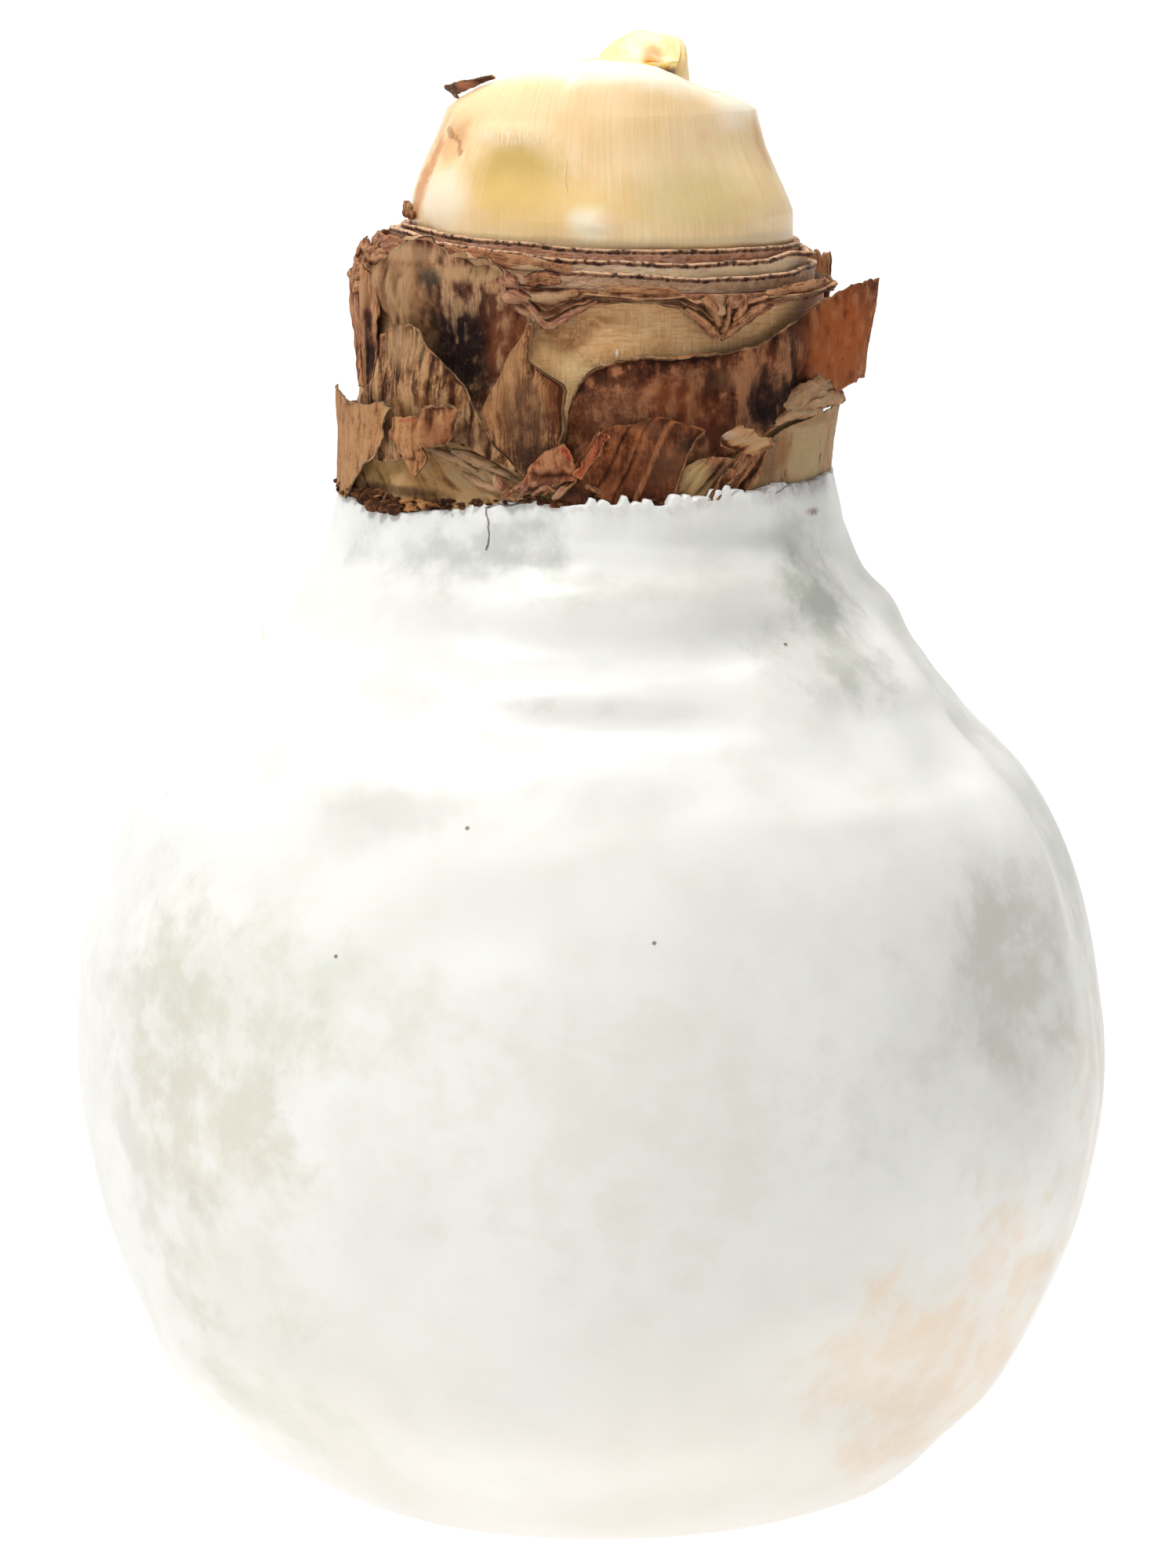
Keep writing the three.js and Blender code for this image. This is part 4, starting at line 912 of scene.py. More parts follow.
def makeYoungLeaf():
    columns = 96
    angles = np.arange(columns) * 360 / columns
    turn = np.radians(angles - leafTube["highSide"])
    top = leafTube["top"] + leafTube["slant"] * np.cos(turn) - 0.4 * np.cos(3 * turn)
    top = top + 1.2 * hill(turnBetween(angles, 265) / 45) + 0.3 * hill(turnBetween(angles, 185) / 25)
    top = top + 0.12 * roundNoise(angles, 14, 71, 3)
    foot = pitFloor + 0.3

    def at(circle, inset, height):
        return around(angles, circle["radius"] - inset, height, circle["x"], circle["y"])

    # the right side leans in, and rounds over less
    taper = 0.6 * np.maximum(0, np.sin(np.radians(angles)))
    squeeze = 1 - 0.62 * hill(turnBetween(angles, 75) / 55)
    rings = [at(leafTube, 0.3, foot), at(leafTube, 0, foot + 2)]
    for share in np.linspace(0, 1, 12)[1:]:
        inset = (0.1 + taper) * share - 0.08 * roundNoise(angles, 20, 73, 2)
        rings.append(at(leafTube, inset, lerp(foot + 2, top - 1.9, share)))
    for inset, drop in [(0.14, 1.45), (0.3, 0.95), (0.55, 0.55), (0.9, 0.26), (1.35, 0.08), (1.9, 0.0)]:
        rings.append(at(leafTube, taper + inset * squeeze, top - drop))
    depth = [0.0] * len(rings)
    last = rings[-1]
    lip = at(leafHollow, -0.35, leafHollow["top"] + 0.2 * roundNoise(angles, 40, 79, 2))
    for share in (0.12, 0.25, 0.4, 0.55, 0.7, 0.85, 1.0):
        ring = lerp(last, lip, share)
        ring[:, 2] = lerp(last[:, 2], lip[:, 2], smoothStep(share, 0.02, 1.0))
        ring[:, 2] += 0.1 * roughNoise(ring, 1.4, 77, 2)
        rings.append(ring)
        depth.append(0.12 * share)
    # rings down into the hollow, each with how dark its painted shade is
    for inset, drop, dark in ((-0.15, 0.4, 0.35), (0.0, 1.1, 0.7), (0.1, 2.3, 0.95), (0.2, 4.0, 1.0)):
        rings.append(at(leafHollow, inset, np.maximum(foot + 1.7, leafHollow["top"] - drop)))
        depth.append(dark)
    rings.append(at(leafHollow, 0.3, foot + 1.6))
    depth.append(1.0)
    points = np.stack(rings)
    depths = np.broadcast_to(np.array(depth)[:, None], points.shape[:2])
    makePiece("youngLeaves", points, tubeFaces(len(rings), columns), [leafMaterial()], "young_leaf",
              {"place": placesOf(points[..., 0] - leafTube["x"], points[..., 2]), "depth": depths}, "leaf_tube")


makeYoungLeaf()
print("young leaves")


# The node that a piece replaces: neckScale1 stands for neck_scale_1.
def nodeOf(name):
    return re.sub("([A-Z]|[0-9]+)", r"_\1", name).lower()


# The cut ends of the neck scales step down from the stump like thin dry rings.
scaleArcRadius = 24
neckScales = [
    # tops: angle, height of the cut edge, all round
    {"name": "neckScale1", "seed": 81, "flare": 0.22, "jag": 0.12,
     "tops": [(-120, 137.3), (-70, 137.5), (-32, 136.6), (4, 135.8), (40, 135.6), (80, 135.4),
              (120, 135.8), (180, 136.3)],
     "face": [(0.34, (0.22, 0.085, 0.05)), (0.5, (0.6, 0.275, 0.16)), (0.66, (0.86, 0.52, 0.35))]},
    {"name": "neckScale2", "seed": 83, "flare": 0.3, "jag": 0.22,
     "tops": [(-120, 136.7), (-70, 137), (-32, 135.7), (-8, 134.9), (26, 134.3), (50, 134.3),
              (66, 134.9), (78, 134.6), (120, 134.8), (180, 135.3)],
     "face": [(0.3, (0.84, 0.58, 0.32)), (0.5, (0.93, 0.71, 0.44)), (0.7, (0.95, 0.82, 0.6))]},
    {"name": "neckScale3", "seed": 85, "flare": 0.2, "jag": 0.14,
     "tops": [(-120, 135), (-70, 135.3), (-32, 134.8), (-4, 133.7), (30, 132.8), (60, 132.8),
              (72, 133.3), (120, 133.2), (180, 133.7)],
     "face": [(0.34, (0.38, 0.175, 0.09)), (0.5, (0.76, 0.46, 0.26)), (0.66, (0.92, 0.66, 0.42))]},
    {"name": "neckScale4", "seed": 87, "flare": 0.12, "jag": 0.16,
     "tops": [(-120, 133.2), (-70, 133.4), (-32, 132.9), (-11, 132.1), (18, 131.4), (56, 131.2),
              (80, 131.5), (120, 131.6), (180, 132.1)],
     "face": None},
]


def topsAt(tops, angle):
    tops = sorted(tops)
    spots = np.array([tops[-1][0] - 360] + [a for a, _ in tops] + [tops[0][0] + 360])
    highs = np.array([tops[-1][1]] + [h for _, h in tops] + [tops[0][1]])
    turn = turnBetween(angle, 30) + 30
    share = np.interp(turn, spots, np.arange(len(spots)))
    k = np.minimum(share.astype(int), len(spots) - 2)
    w = share - k
    w = w * w * (3 - 2 * w)
    return lerp(highs[k], highs[k + 1], w)


def scaleMaterial(name, face):
    material, tree, shader = newMaterial(name)
    space = spaceOf(tree)
    place = mark(tree, "place")
    arc, height, _ = splitUp(place)
    drop = mark(tree, "drop", "Fac")
    strands = noiseOf(joinUp(arc * 0.9, height * 1.6), 1.0, 6, 0.65)
    small = noiseOf(space, 1.3, 5, 0.65)
    broad = noiseOf(space, 0.16, 3, 0.5)
    colour = ramp(strands * 0.6 + small * 0.4, face)
    rusty = 0.45
    if name == "creamScale":
        # it turns brown towards the left, where old skin still covers it; a painted highlight runs along its face
        rusty = 0.25
        old = mixColour(small, (0.3, 0.13, 0.085), (0.62, 0.35, 0.22))
        shine = lineMark(place, [(-2.0, 134.4), (3.5, 134.0), (12.0, 133.6)], 0.5, small, 0.3)
        colour = layers(colour, (spread(arc + broad * 6.0, 2.5, -1.5), old), (shine * 0.6, (0.93, 0.8, 0.73)))
    # a dark fibrous lip with a thin pale line under it, and a painted highlight as a pinkish strip on the face
    ragged = drop + (small - 0.5) * 0.45
    gleam = spread(noiseOf(joinUp(arc * 0.22, height * 1.2), 1.0, 5, 0.7), 0.5, 0.66) * 0.75
    lip = mixColour(spread(small, 0.4, 0.66), (0.045, 0.018, 0.011), (0.38, 0.18, 0.095))
    paleWearAndHighlight = spread(drop, 0.26, 0.1) * spread(drop, -0.3, -0.05) * spread(small, 0.36, 0.56)
    # the last layer is painted shade down the inner face, into the gap to the next scale
    colour = layers(
        colour, (spread(broad, 0.55, 0.72, 0, rusty), (0.42, 0.18, 0.1)),
        (gleam * spread(drop, 2.4, 1.1), (0.7, 0.47, 0.37)),
        (spread(ragged, 0.74, 0.58) * 0.6, (0.66, 0.42, 0.28)), (spread(ragged, 0.56, 0.44), lip),
        (paleWearAndHighlight, (0.72, 0.45, 0.27)), (spread(drop, -0.15, -0.45) * 0.75, (0.17, 0.085, 0.05)))
    relief = bumpOf(strands + small * 0.6, 0.45, 0.9)
    setLook(shader, colour, spread(strands, 0.3, 0.7, 0.4, 0.7), relief, 0.2, (1.0, 0.5, 0.3), 1.0, 0.22)
    return material


# The outermost scale shows as the pale neck, with fine upright hairs and rust-brown stains. The stains:
# place, half-widths, strength.
neckRust = [
    (-2.5, 126.6, 3, 1.8, 0.85), (2.5, 124.6, 4.5, 1, 0.8), (7, 125.4, 2.2, 2.4, 0.5),
    (0, 128.6, 4, 1, 0.7),
    (14, 124.3, 3, 1.2, 0.65), (-5.5, 127.6, 2.6, 1.6, 0.85), (5.5, 123.7, 4, 0.8, 0.7),
    (10.5, 129.6, 4, 1, 0.6), (21, 127.5, 3, 1.2, 0.6), (30, 114.5, 2.5, 3.5, 0.7),
]


def neckMaterial():
    material, tree, shader = newMaterial("paleNeck")
    space = spaceOf(tree)
    place = mark(tree, "place")
    arc, height, _ = splitUp(place)
    brushed = noiseOf(joinUp(arc * 0.5, height * 3.0), 1.0, 6, 0.7)
    upright = noiseOf(joinUp(arc * 3.8, height * 0.3), 1.0, 6, 0.68)
    small = noiseOf(space, 1.1, 6, 0.7)
    broad = noiseOf(space, 0.2, 4, 0.6)
    tan = ramp(brushed, [(0.34, (0.48, 0.21, 0.085)), (0.5, (0.74, 0.41, 0.19)), (0.66, (0.88, 0.58, 0.32))])
    colour = layers(
        (0.8, 0.45, 0.185), (spread(broad, 0.35, 0.65), (0.93, 0.615, 0.3)),
        (spread(height, 121.5, 114.0) * 0.5, (0.84, 0.585, 0.25)),
        (spread(height + brushed * 3.0, 125.5, 128.5) * 0.75, tan),
        (spread(upright, 0.52, 0.7, 0, 0.45), (0.9, 0.74, 0.47)),
        (spread(upright, 0.47, 0.36, 0, 0.5), (0.44, 0.24, 0.09)))
    rust = spread(broad * 0.5 + small * 0.5, 0.45, 0.58)
    for x, y, wide, high, much in neckRust:
        stain = patch(place, x, y, wide, high, small, 0.9) * rust
        colour = mixColour(stain * much, colour, (0.4, 0.145, 0.04))
    colour = patches(
        colour, place, small, (4.6, 123.7, 0.32, 0.5, 0.3, 0.85, (0.16, 0.06, 0.03)),
        (2.4, 125.3, 0.16, 0.5, 0.1, 1.0, (0.97, 0.93, 0.85)))
    ragged = mark(tree, "drop", "Fac") + (small - 0.5) * 0.7
    lip = mixColour(small, (0.025, 0.012, 0.008), (0.14, 0.07, 0.045))
    colour = layers(colour, (spread(ragged, 1.2, 0.6), (0.26, 0.14, 0.08)), (spread(ragged, 0.55, 0.4), lip))
    relief = bumpOf(brushed + upright, 0.35, 0.8)
    setLook(shader, colour, spread(brushed, 0.3, 0.7, 0.48, 0.68), relief, 0.3, (1.0, 0.62, 0.28), 1.8, 0.22)
    return material


def makeNeckScales():
    columns = 420
    angles = np.arange(columns) * 360 / columns
    for index, part in enumerate(neckScales):
        inwards = len(neckScales) - 1 - index
        seed = part["seed"]
        jag = part["jag"] * (roundNoise(angles, 11, seed, 4) + 0.5 * roundNoise(angles, 3.4, seed + 3, 3))
        top = topsAt(part["tops"], angles) + jag
        flare = part["flare"] * (1 + 0.8 * roundNoise(angles, 14, seed + 5, 3))
        if part["name"] == "neckScale2":  # its right end is torn and stands out
            torn = hill(turnBetween(angles, 74) / 7)
            flare = flare + 1.3 * torn * (1 + 0.5 * roundNoise(angles, 2.5, seed + 9))
            top = top + 0.5 * torn * roundNoise(angles, 2.0, seed + 11)
        visible = 22.0 if index == 3 else 3.2
        drops = np.concatenate([[26], np.linspace(visible, 0.9, 70 if index == 3 else 9),
                                [0.65, 0.45, 0.3, 0.18, 0.07]])
        rings, falls = [], []
        out = around(angles, 1.0, 0.0)
        for drop in drops:
            height = np.maximum(neckFoot, top - drop)
            point = scalePoint(angles, inwards, 0, height)
            bend = flare * (1 - smoothStep(drop, 0, 1.0))
            bend = bend + 0.07 * roughNoise(point * (1, 1, 2.5), 3.5, seed + 7, 3) * smoothStep(drop, 0.1, 0.8)
            rings.append(point + out * bend[:, None])
            falls.append(drop)
        for share in np.linspace(0.12, 0.5, 4):
            point = scalePoint(angles, inwards, share, top + 0.03 - 0.1 * abs(share - 0.3))
            rings.append(point + out * (flare * 0.9)[:, None])
            falls.append(-0.1)
        for drop in (0.3, 1.2, 3.0, 30.0):
            point = scalePoint(angles, inwards, 0.68, np.maximum(neckFoot, top - drop))
            rings.append(point)
            falls.append(-drop)
        points = np.stack(rings)
        count = len(rings)
        i = np.arange(columns)
        closing = np.stack([(count - 1) * columns + i, (count - 1) * columns + (i + 1) % columns,
                            (i + 1) % columns, i], -1)
        faces = np.concatenate([gridFaces(count - 1, columns, closed=True), closing])
        arcs = np.broadcast_to(np.radians(turnBetween(angles, 0)) * scaleArcRadius, points.shape[:2])
        fall = np.broadcast_to(np.array(falls)[:, None], points.shape[:2])
        if part["face"]:
            name = "creamScale" if index == 1 else "dryScale" + str(index + 1)
            material = scaleMaterial(name, part["face"])
        else:
            material = neckMaterial()
        makePiece(part["name"], points, faces, [material], "scale_skin",
                  {"place": placesOf(arcs, points[..., 2]), "drop": fall}, nodeOf(part["name"]),
                  2 * math.pi * scaleArcRadius)


makeNeckScales()
print("neck scales")


# Dry papery skin. "grain" holds the distance across the fibres and along them, "torn" the distance to a
# torn edge, and "ridge" is above zero on ridges and below zero in folds; by it the paper paints highlight on ridges
# and shade in folds.
def dryPaper(name, tones, edge=(0.62, 0.42, 0.25), stainsAndPaintedLight=(), stripes=0.0, redness=0.25, fibre=1.0, streaks=1.0,
             mottle=0.5, paleCurl=0.45):
    material, tree, shader = newMaterial(name)

    def warmer(colour, gain=1.3):
        warm = [share * c for share, c in zip((1.18, 0.93, 0.76), colour)]
        return tuple(c * min(gain, 0.88 / warm[0]) for c in warm)

    def scaled(colour, by, top=math.inf):
        return tuple(c * min(by, top / colour[0]) for c in colour)

    dark, body, light = [warmer(tone, gain) for tone, gain in zip(tones, (1.0, 1.3, 1.6))]
    edge = warmer(edge)
    space = spaceOf(tree)
    ridge = mark(tree, "ridge", "Fac")
    across, along, seed = splitUp(mark(tree, "grain"))
    across = across + (noiseOf(space, 0.25, 3) - 0.5) * 1.4
    fine = noiseOf(joinUp(across * (6.5 * fibre), along * 0.45, seed), 1.0, 8, 0.78)
    middle = noiseOf(joinUp(across * (2.6 * fibre), along * 0.2, seed + 7.3), 1.0, 4, 0.6)
    blotch = noiseOf(space, 0.45, 7, 0.7)
    speck = noiseOf(space, 2.8, 5, 0.7)
    # ridges lighten the tone a little: painted highlight
    value = fine * (0.6 * streaks) + middle * (0.4 * streaks) + (blotch - 0.5) * mottle
    value = value + (speck - 0.5) * 0.25 + ridge * 0.1 + (0.5 - 0.5 * streaks)
    colour = ramp(value, [(0.37, dark), (0.49, body), (0.62, light), (0.78, scaled(light, 1.4, 0.92))])
    if stripes:
        colour = mixColour(spread(middle, 0.5, 0.4) * stripes, colour, scaled(dark, 0.3))
    red = spread(noiseOf(space, 0.22, 5, 0.65, 0.4), 0.5, 0.66, 0, redness)
    colour = mixColour(red, colour, (0.29, 0.08, 0.022))
    streaky = spread(fine + ridge * 0.08, 0.36, 0.56, 0.72, 1)
    # stains, with patches of painted shade, painted highlight and painted glow among them
    for angle, y, wide, high, paint, much in stainsAndPaintedLight:
        paint = warmer(paint) if paint[0] > 0.15 else paint
        x = math.radians(angle) * arcRadius
        spot = patch(mark(tree, "place"), x, y, 1.15 * wide, 1.15 * high, blotch, 0.55)
        colour = mixColour(spot * streaky * much, colour, paint)
    colour = layers(colour, (spread(speck, 0.62, 0.76, 0, 0.35), scaled(light, 1.5, 0.94)),
                    (spread(speck, 0.37, 0.27, 0, 0.6), scaled(dark, 0.4)))
    # painted shade darkens the folds, painted highlight lightens the ridges, and a curled edge shows the paler inner
    # face
    shade = vectorCalc("MULTIPLY", colour, (0.34, 0.26, 0.22))
    ridgeHighlight = spread(ridge, 0.25, 1.2, 0, 0.75) * spread(fine, 0.35, 0.6)
    rolled = mark(tree, "rolled", "Fac") * spread(fine, 0.25, 0.55, 0.55, 1)
    # a pale worn line along parts of the torn edge
    line = spread(mark(tree, "torn", "Fac") + (speck - 0.5) * 0.7, 0.3, 0.04)
    line = line * spread(noiseOf(space, 0.6, 3, 0.6, 0.5), 0.42, 0.6, 0, 0.75)
    paleWearAndHighlight, inner = [tuple((1 - s) * a + s * b for a, b in zip(light, edge)) for s in (0.6, 0.75)]
    colour = layers(colour, (spread(ridge, -0.15, -1.1, 0, 0.75), shade), (ridgeHighlight, paleWearAndHighlight), (rolled * paleCurl, inner),
                    (line, edge))
    relief = bumpOf(fine + middle * 0.8 + blotch * 0.7 + speck * 0.35, 1.1)
    setLook(shader, colour, spread(fine, 0.3, 0.7, 0.66, 0.88), relief, 0.22, (1.0, 0.42, 0.2), 0.5, 0.14)
    return material


def tornEdge(name, colour):
    material, tree, shader = newMaterial(name)
    tint = spread(noiseOf(spaceOf(tree), 0.5, 5, 0.7), 0.44, 0.68)
    for label, value in (("Base Color", mixColour(tint, tuple(0.16 * c for c in colour), colour)),
                         ("Roughness", 0.85), ("Specular IOR Level", 0.15)):
        feed(shader.inputs[label], value)
    return material


paleRim = tornEdge("paleTornEdge", (0.44, 0.265, 0.135))
redRim = tornEdge("redTornEdge", (0.52, 0.19, 0.09))


# The torn upper end of the dry skin hangs in ragged layers over the neck, under the cut rings.
hemPart = {
    "columns": 460,
    # lower edge in front: angle, height; with a deep fold at the front right
    "edge": [(-60, 129.6), (-19, 130.2), (-11.1, 128.3), (-4, 129.6), (1, 130.4), (11, 130.9), (19, 130),
             (25, 128.4),
             (30.2, 126.3), (34, 127.2), (38, 128), (43, 128.9), (50, 129.6), (58, 129.9), (80, 130.4),
             (110, 129.6), (150, 130.6),
             (190, 129.4), (230, 130.4), (270, 129.9)],
    "layers": [
        # rise of the lower edge, stand off, flare of the edge, raggedness, height of the upper edge
        {"rise": 0, "stand": 0.3, "flare": 0.55, "jag": 0.28, "up": -0.5, "seed": 101},
        {"rise": 0.75, "stand": 0.62, "flare": 0.45, "jag": 0.45, "up": -0.35, "seed": 103},
        {"rise": 1.5, "stand": 0.8, "flare": 0.5, "jag": 0.5, "up": -0.1, "seed": 105},
    ],
    # on the left the skin still climbs over the cut rings
    "climb": {"from": -125, "to": -14, "seed": 107},
}


def makeTornHem():
    columns = hemPart["columns"]
    angles = np.arange(columns + 1) * 360 / columns - 180
    points, faces, torn, grain = [], [], [], []

    def layer(grid, tornBy, along, seed, closed):
        start = sum(len(p.reshape(-1, 3)) for p in points)
        rows, wide = grid.shape[0] - 1, grid.shape[1]
        points.append(grid)
        faces.append(gridFaces(rows, wide if closed else wide - 1, closed=closed, start=start))
        torn.append(tornBy)
        arc = np.radians(angles[:wide] if closed else along[0]) * arcRadius
        arcs = np.broadcast_to(arc, grid.shape[:2])
        grain.append(np.stack([grid[..., 2] * 0.9, arcs, np.full(grid.shape[:2], float(seed))], -1))

    ring = angles[:-1]
    for part in hemPart["layers"]:
        seed = part["seed"]
        low = topsAt(hemPart["edge"], ring) + part["rise"]
        low = low + part["jag"] * (roundNoise(ring, 5, seed) + 0.5 * roundNoise(ring, 1.3, seed + 2, 2))
        high = topsAt(neckScales[3]["tops"], ring) + part["up"]
        low = np.minimum(low, high - 0.5)
        if part["rise"]:
            fold = hill(turnBetween(ring, 31) / 7)
            low = lerp(low, np.maximum(low, topsAt(hemPart["edge"], ring) + 1.2 + part["rise"]), fold)
        rows = 14
        shares = np.linspace(0, 1, rows + 1)
        t, angle = np.meshgrid(shares, ring, indexing="ij")
        height = lerp(high, low, t)
        size = (high - low)[None] * (1 - t)
        stand = part["stand"] + part["flare"] * smoothStep(t, 0.55, 1) * (1 + 0.7 * roundNoise(angle, 8, seed + 4, 2))
        flat = around(angle, arcRadius, height)
        stand = stand + 0.3 * roughNoise(flat * (0.7, 0.7, 1.6), 2.6, seed + 6, 3) * smoothStep(t, 0, 0.2)
        fold = hill(turnBetween(angle, 30.5) / 5.5) * hill((height - 129.4) / 3)
        stand = stand + 0.5 * fold * np.cos((angle - 30.5) * 0.9)
        under = smoothStep(angle, -74, -66) * (1 - smoothStep(angle, -25, -19)) * (1 - smoothStep(height, 133, 134.5))
        layer(neckPoint(angle, np.maximum(0.18, stand * (1 - 0.75 * under)), height), size, None, seed, True)
    climb = hemPart["climb"]
    wide = 200
    span = np.linspace(climb["from"], climb["to"], wide)
    rows = 30
    t, angle = np.meshgrid(np.linspace(0, 1, rows + 1), span, indexing="ij")
    seed = climb["seed"]
    ends = smoothStep(span, climb["from"], climb["from"] + 14) * (1 - smoothStep(span, climb["to"] - 26, climb["to"]))
    top = topsAt(neckScales[1]["tops"], span) - 0.55 - (1 - ends) * 3.6
    top = top + 0.25 * edgeNoise(span, 4, seed) + 0.15 * edgeNoise(span, 1.1, seed + 2, 2)
    low = 130.4 + 0.5 * edgeNoise(span, 5, seed + 4) + (1 - ends) * 0.6
    height = lerp(low, top, t)
    over = np.maximum(0, height - 131.4)
    flat = around(angle, arcRadius, height)
    crumple = 0.75 * roughNoise(flat * (1, 1, 1.5), 3.6, seed + 6, 3) + 0.3 * roughNoise(flat * (1, 1, 2.2), 1.1,
            seed + 8, 2)
    stand = 1.25 - 0.42 * over + crumple * smoothStep(t, 0, 0.1) * (1 - 0.6 * smoothStep(t, 0.9, 1))
    under = smoothStep(angle, -70, -62) * (1 - smoothStep(angle, -28, -20)) * (1 - smoothStep(height, 132.5, 134.5))
    stand = np.maximum(stand * (1 - 0.7 * under), 0.55 - 0.62 * over)
    fromEnd = np.radians(np.minimum(angle - climb["from"], climb["to"] - angle)) * arcRadius
    size = np.minimum((top - low) * (1 - t), fromEnd)
    layer(neckPoint(angle, stand, height), size, angle, seed, False)
    allPoints = np.concatenate([p.reshape(-1, 3) for p in points])
    arcs = np.radians(turnBetween(np.degrees(np.arctan2(allPoints[:, 0], -allPoints[:, 1])), 0)) * arcRadius
    paper = dryPaper("hemPaper", [(0.09, 0.038, 0.025), (0.36, 0.19, 0.12), (0.66, 0.46, 0.32)],
                     edge=(0.64, 0.44, 0.27), fibre=0.8,
                     stainsAndPaintedLight=[(31, 129.8, 1.6, 1.6, (0.6, 0.46, 0.3), 0.6),
                             (-30, 134.5, 5, 1.6, (0.42, 0.22, 0.16), 0.5),
                             (-70, 134, 8, 3.0, (0.34, 0.19, 0.14), 0.5)])
    masks = {"place": placesOf(arcs, allPoints[:, 2]), "torn": np.concatenate([t.reshape(-1) for t in torn]),
             "grain": np.concatenate([g.reshape(-1, 3) for g in grain])}
    thicken(makePiece("tornHem", allPoints, np.concatenate(faces), [paper, paleRim], "brown_skin", masks, "torn_hem"),
            0.22)


makeTornHem()
print("torn hem")


leanFoot = 118  # the height from which leaning fibres lean
footRise = 0.6  # the foot of a skin over the wax edge, and how far it is pushed down into it
footSink = 0.9


# A rail of (angle, height, lift), read by its length.
def railAt(points, share, byLength):
    if not byLength:
        return splineAt(points, share)
    t = np.linspace(0, 1, 200)
    path = splineAt(points, t)
    steps = np.linalg.norm(np.diff(path * (np.radians(1) * arcRadius, 1, 1), axis=0), axis=1)
    run = np.concatenate([[0], np.cumsum(steps)])
    return splineAt(points, np.interp(share, run / run[-1], t))


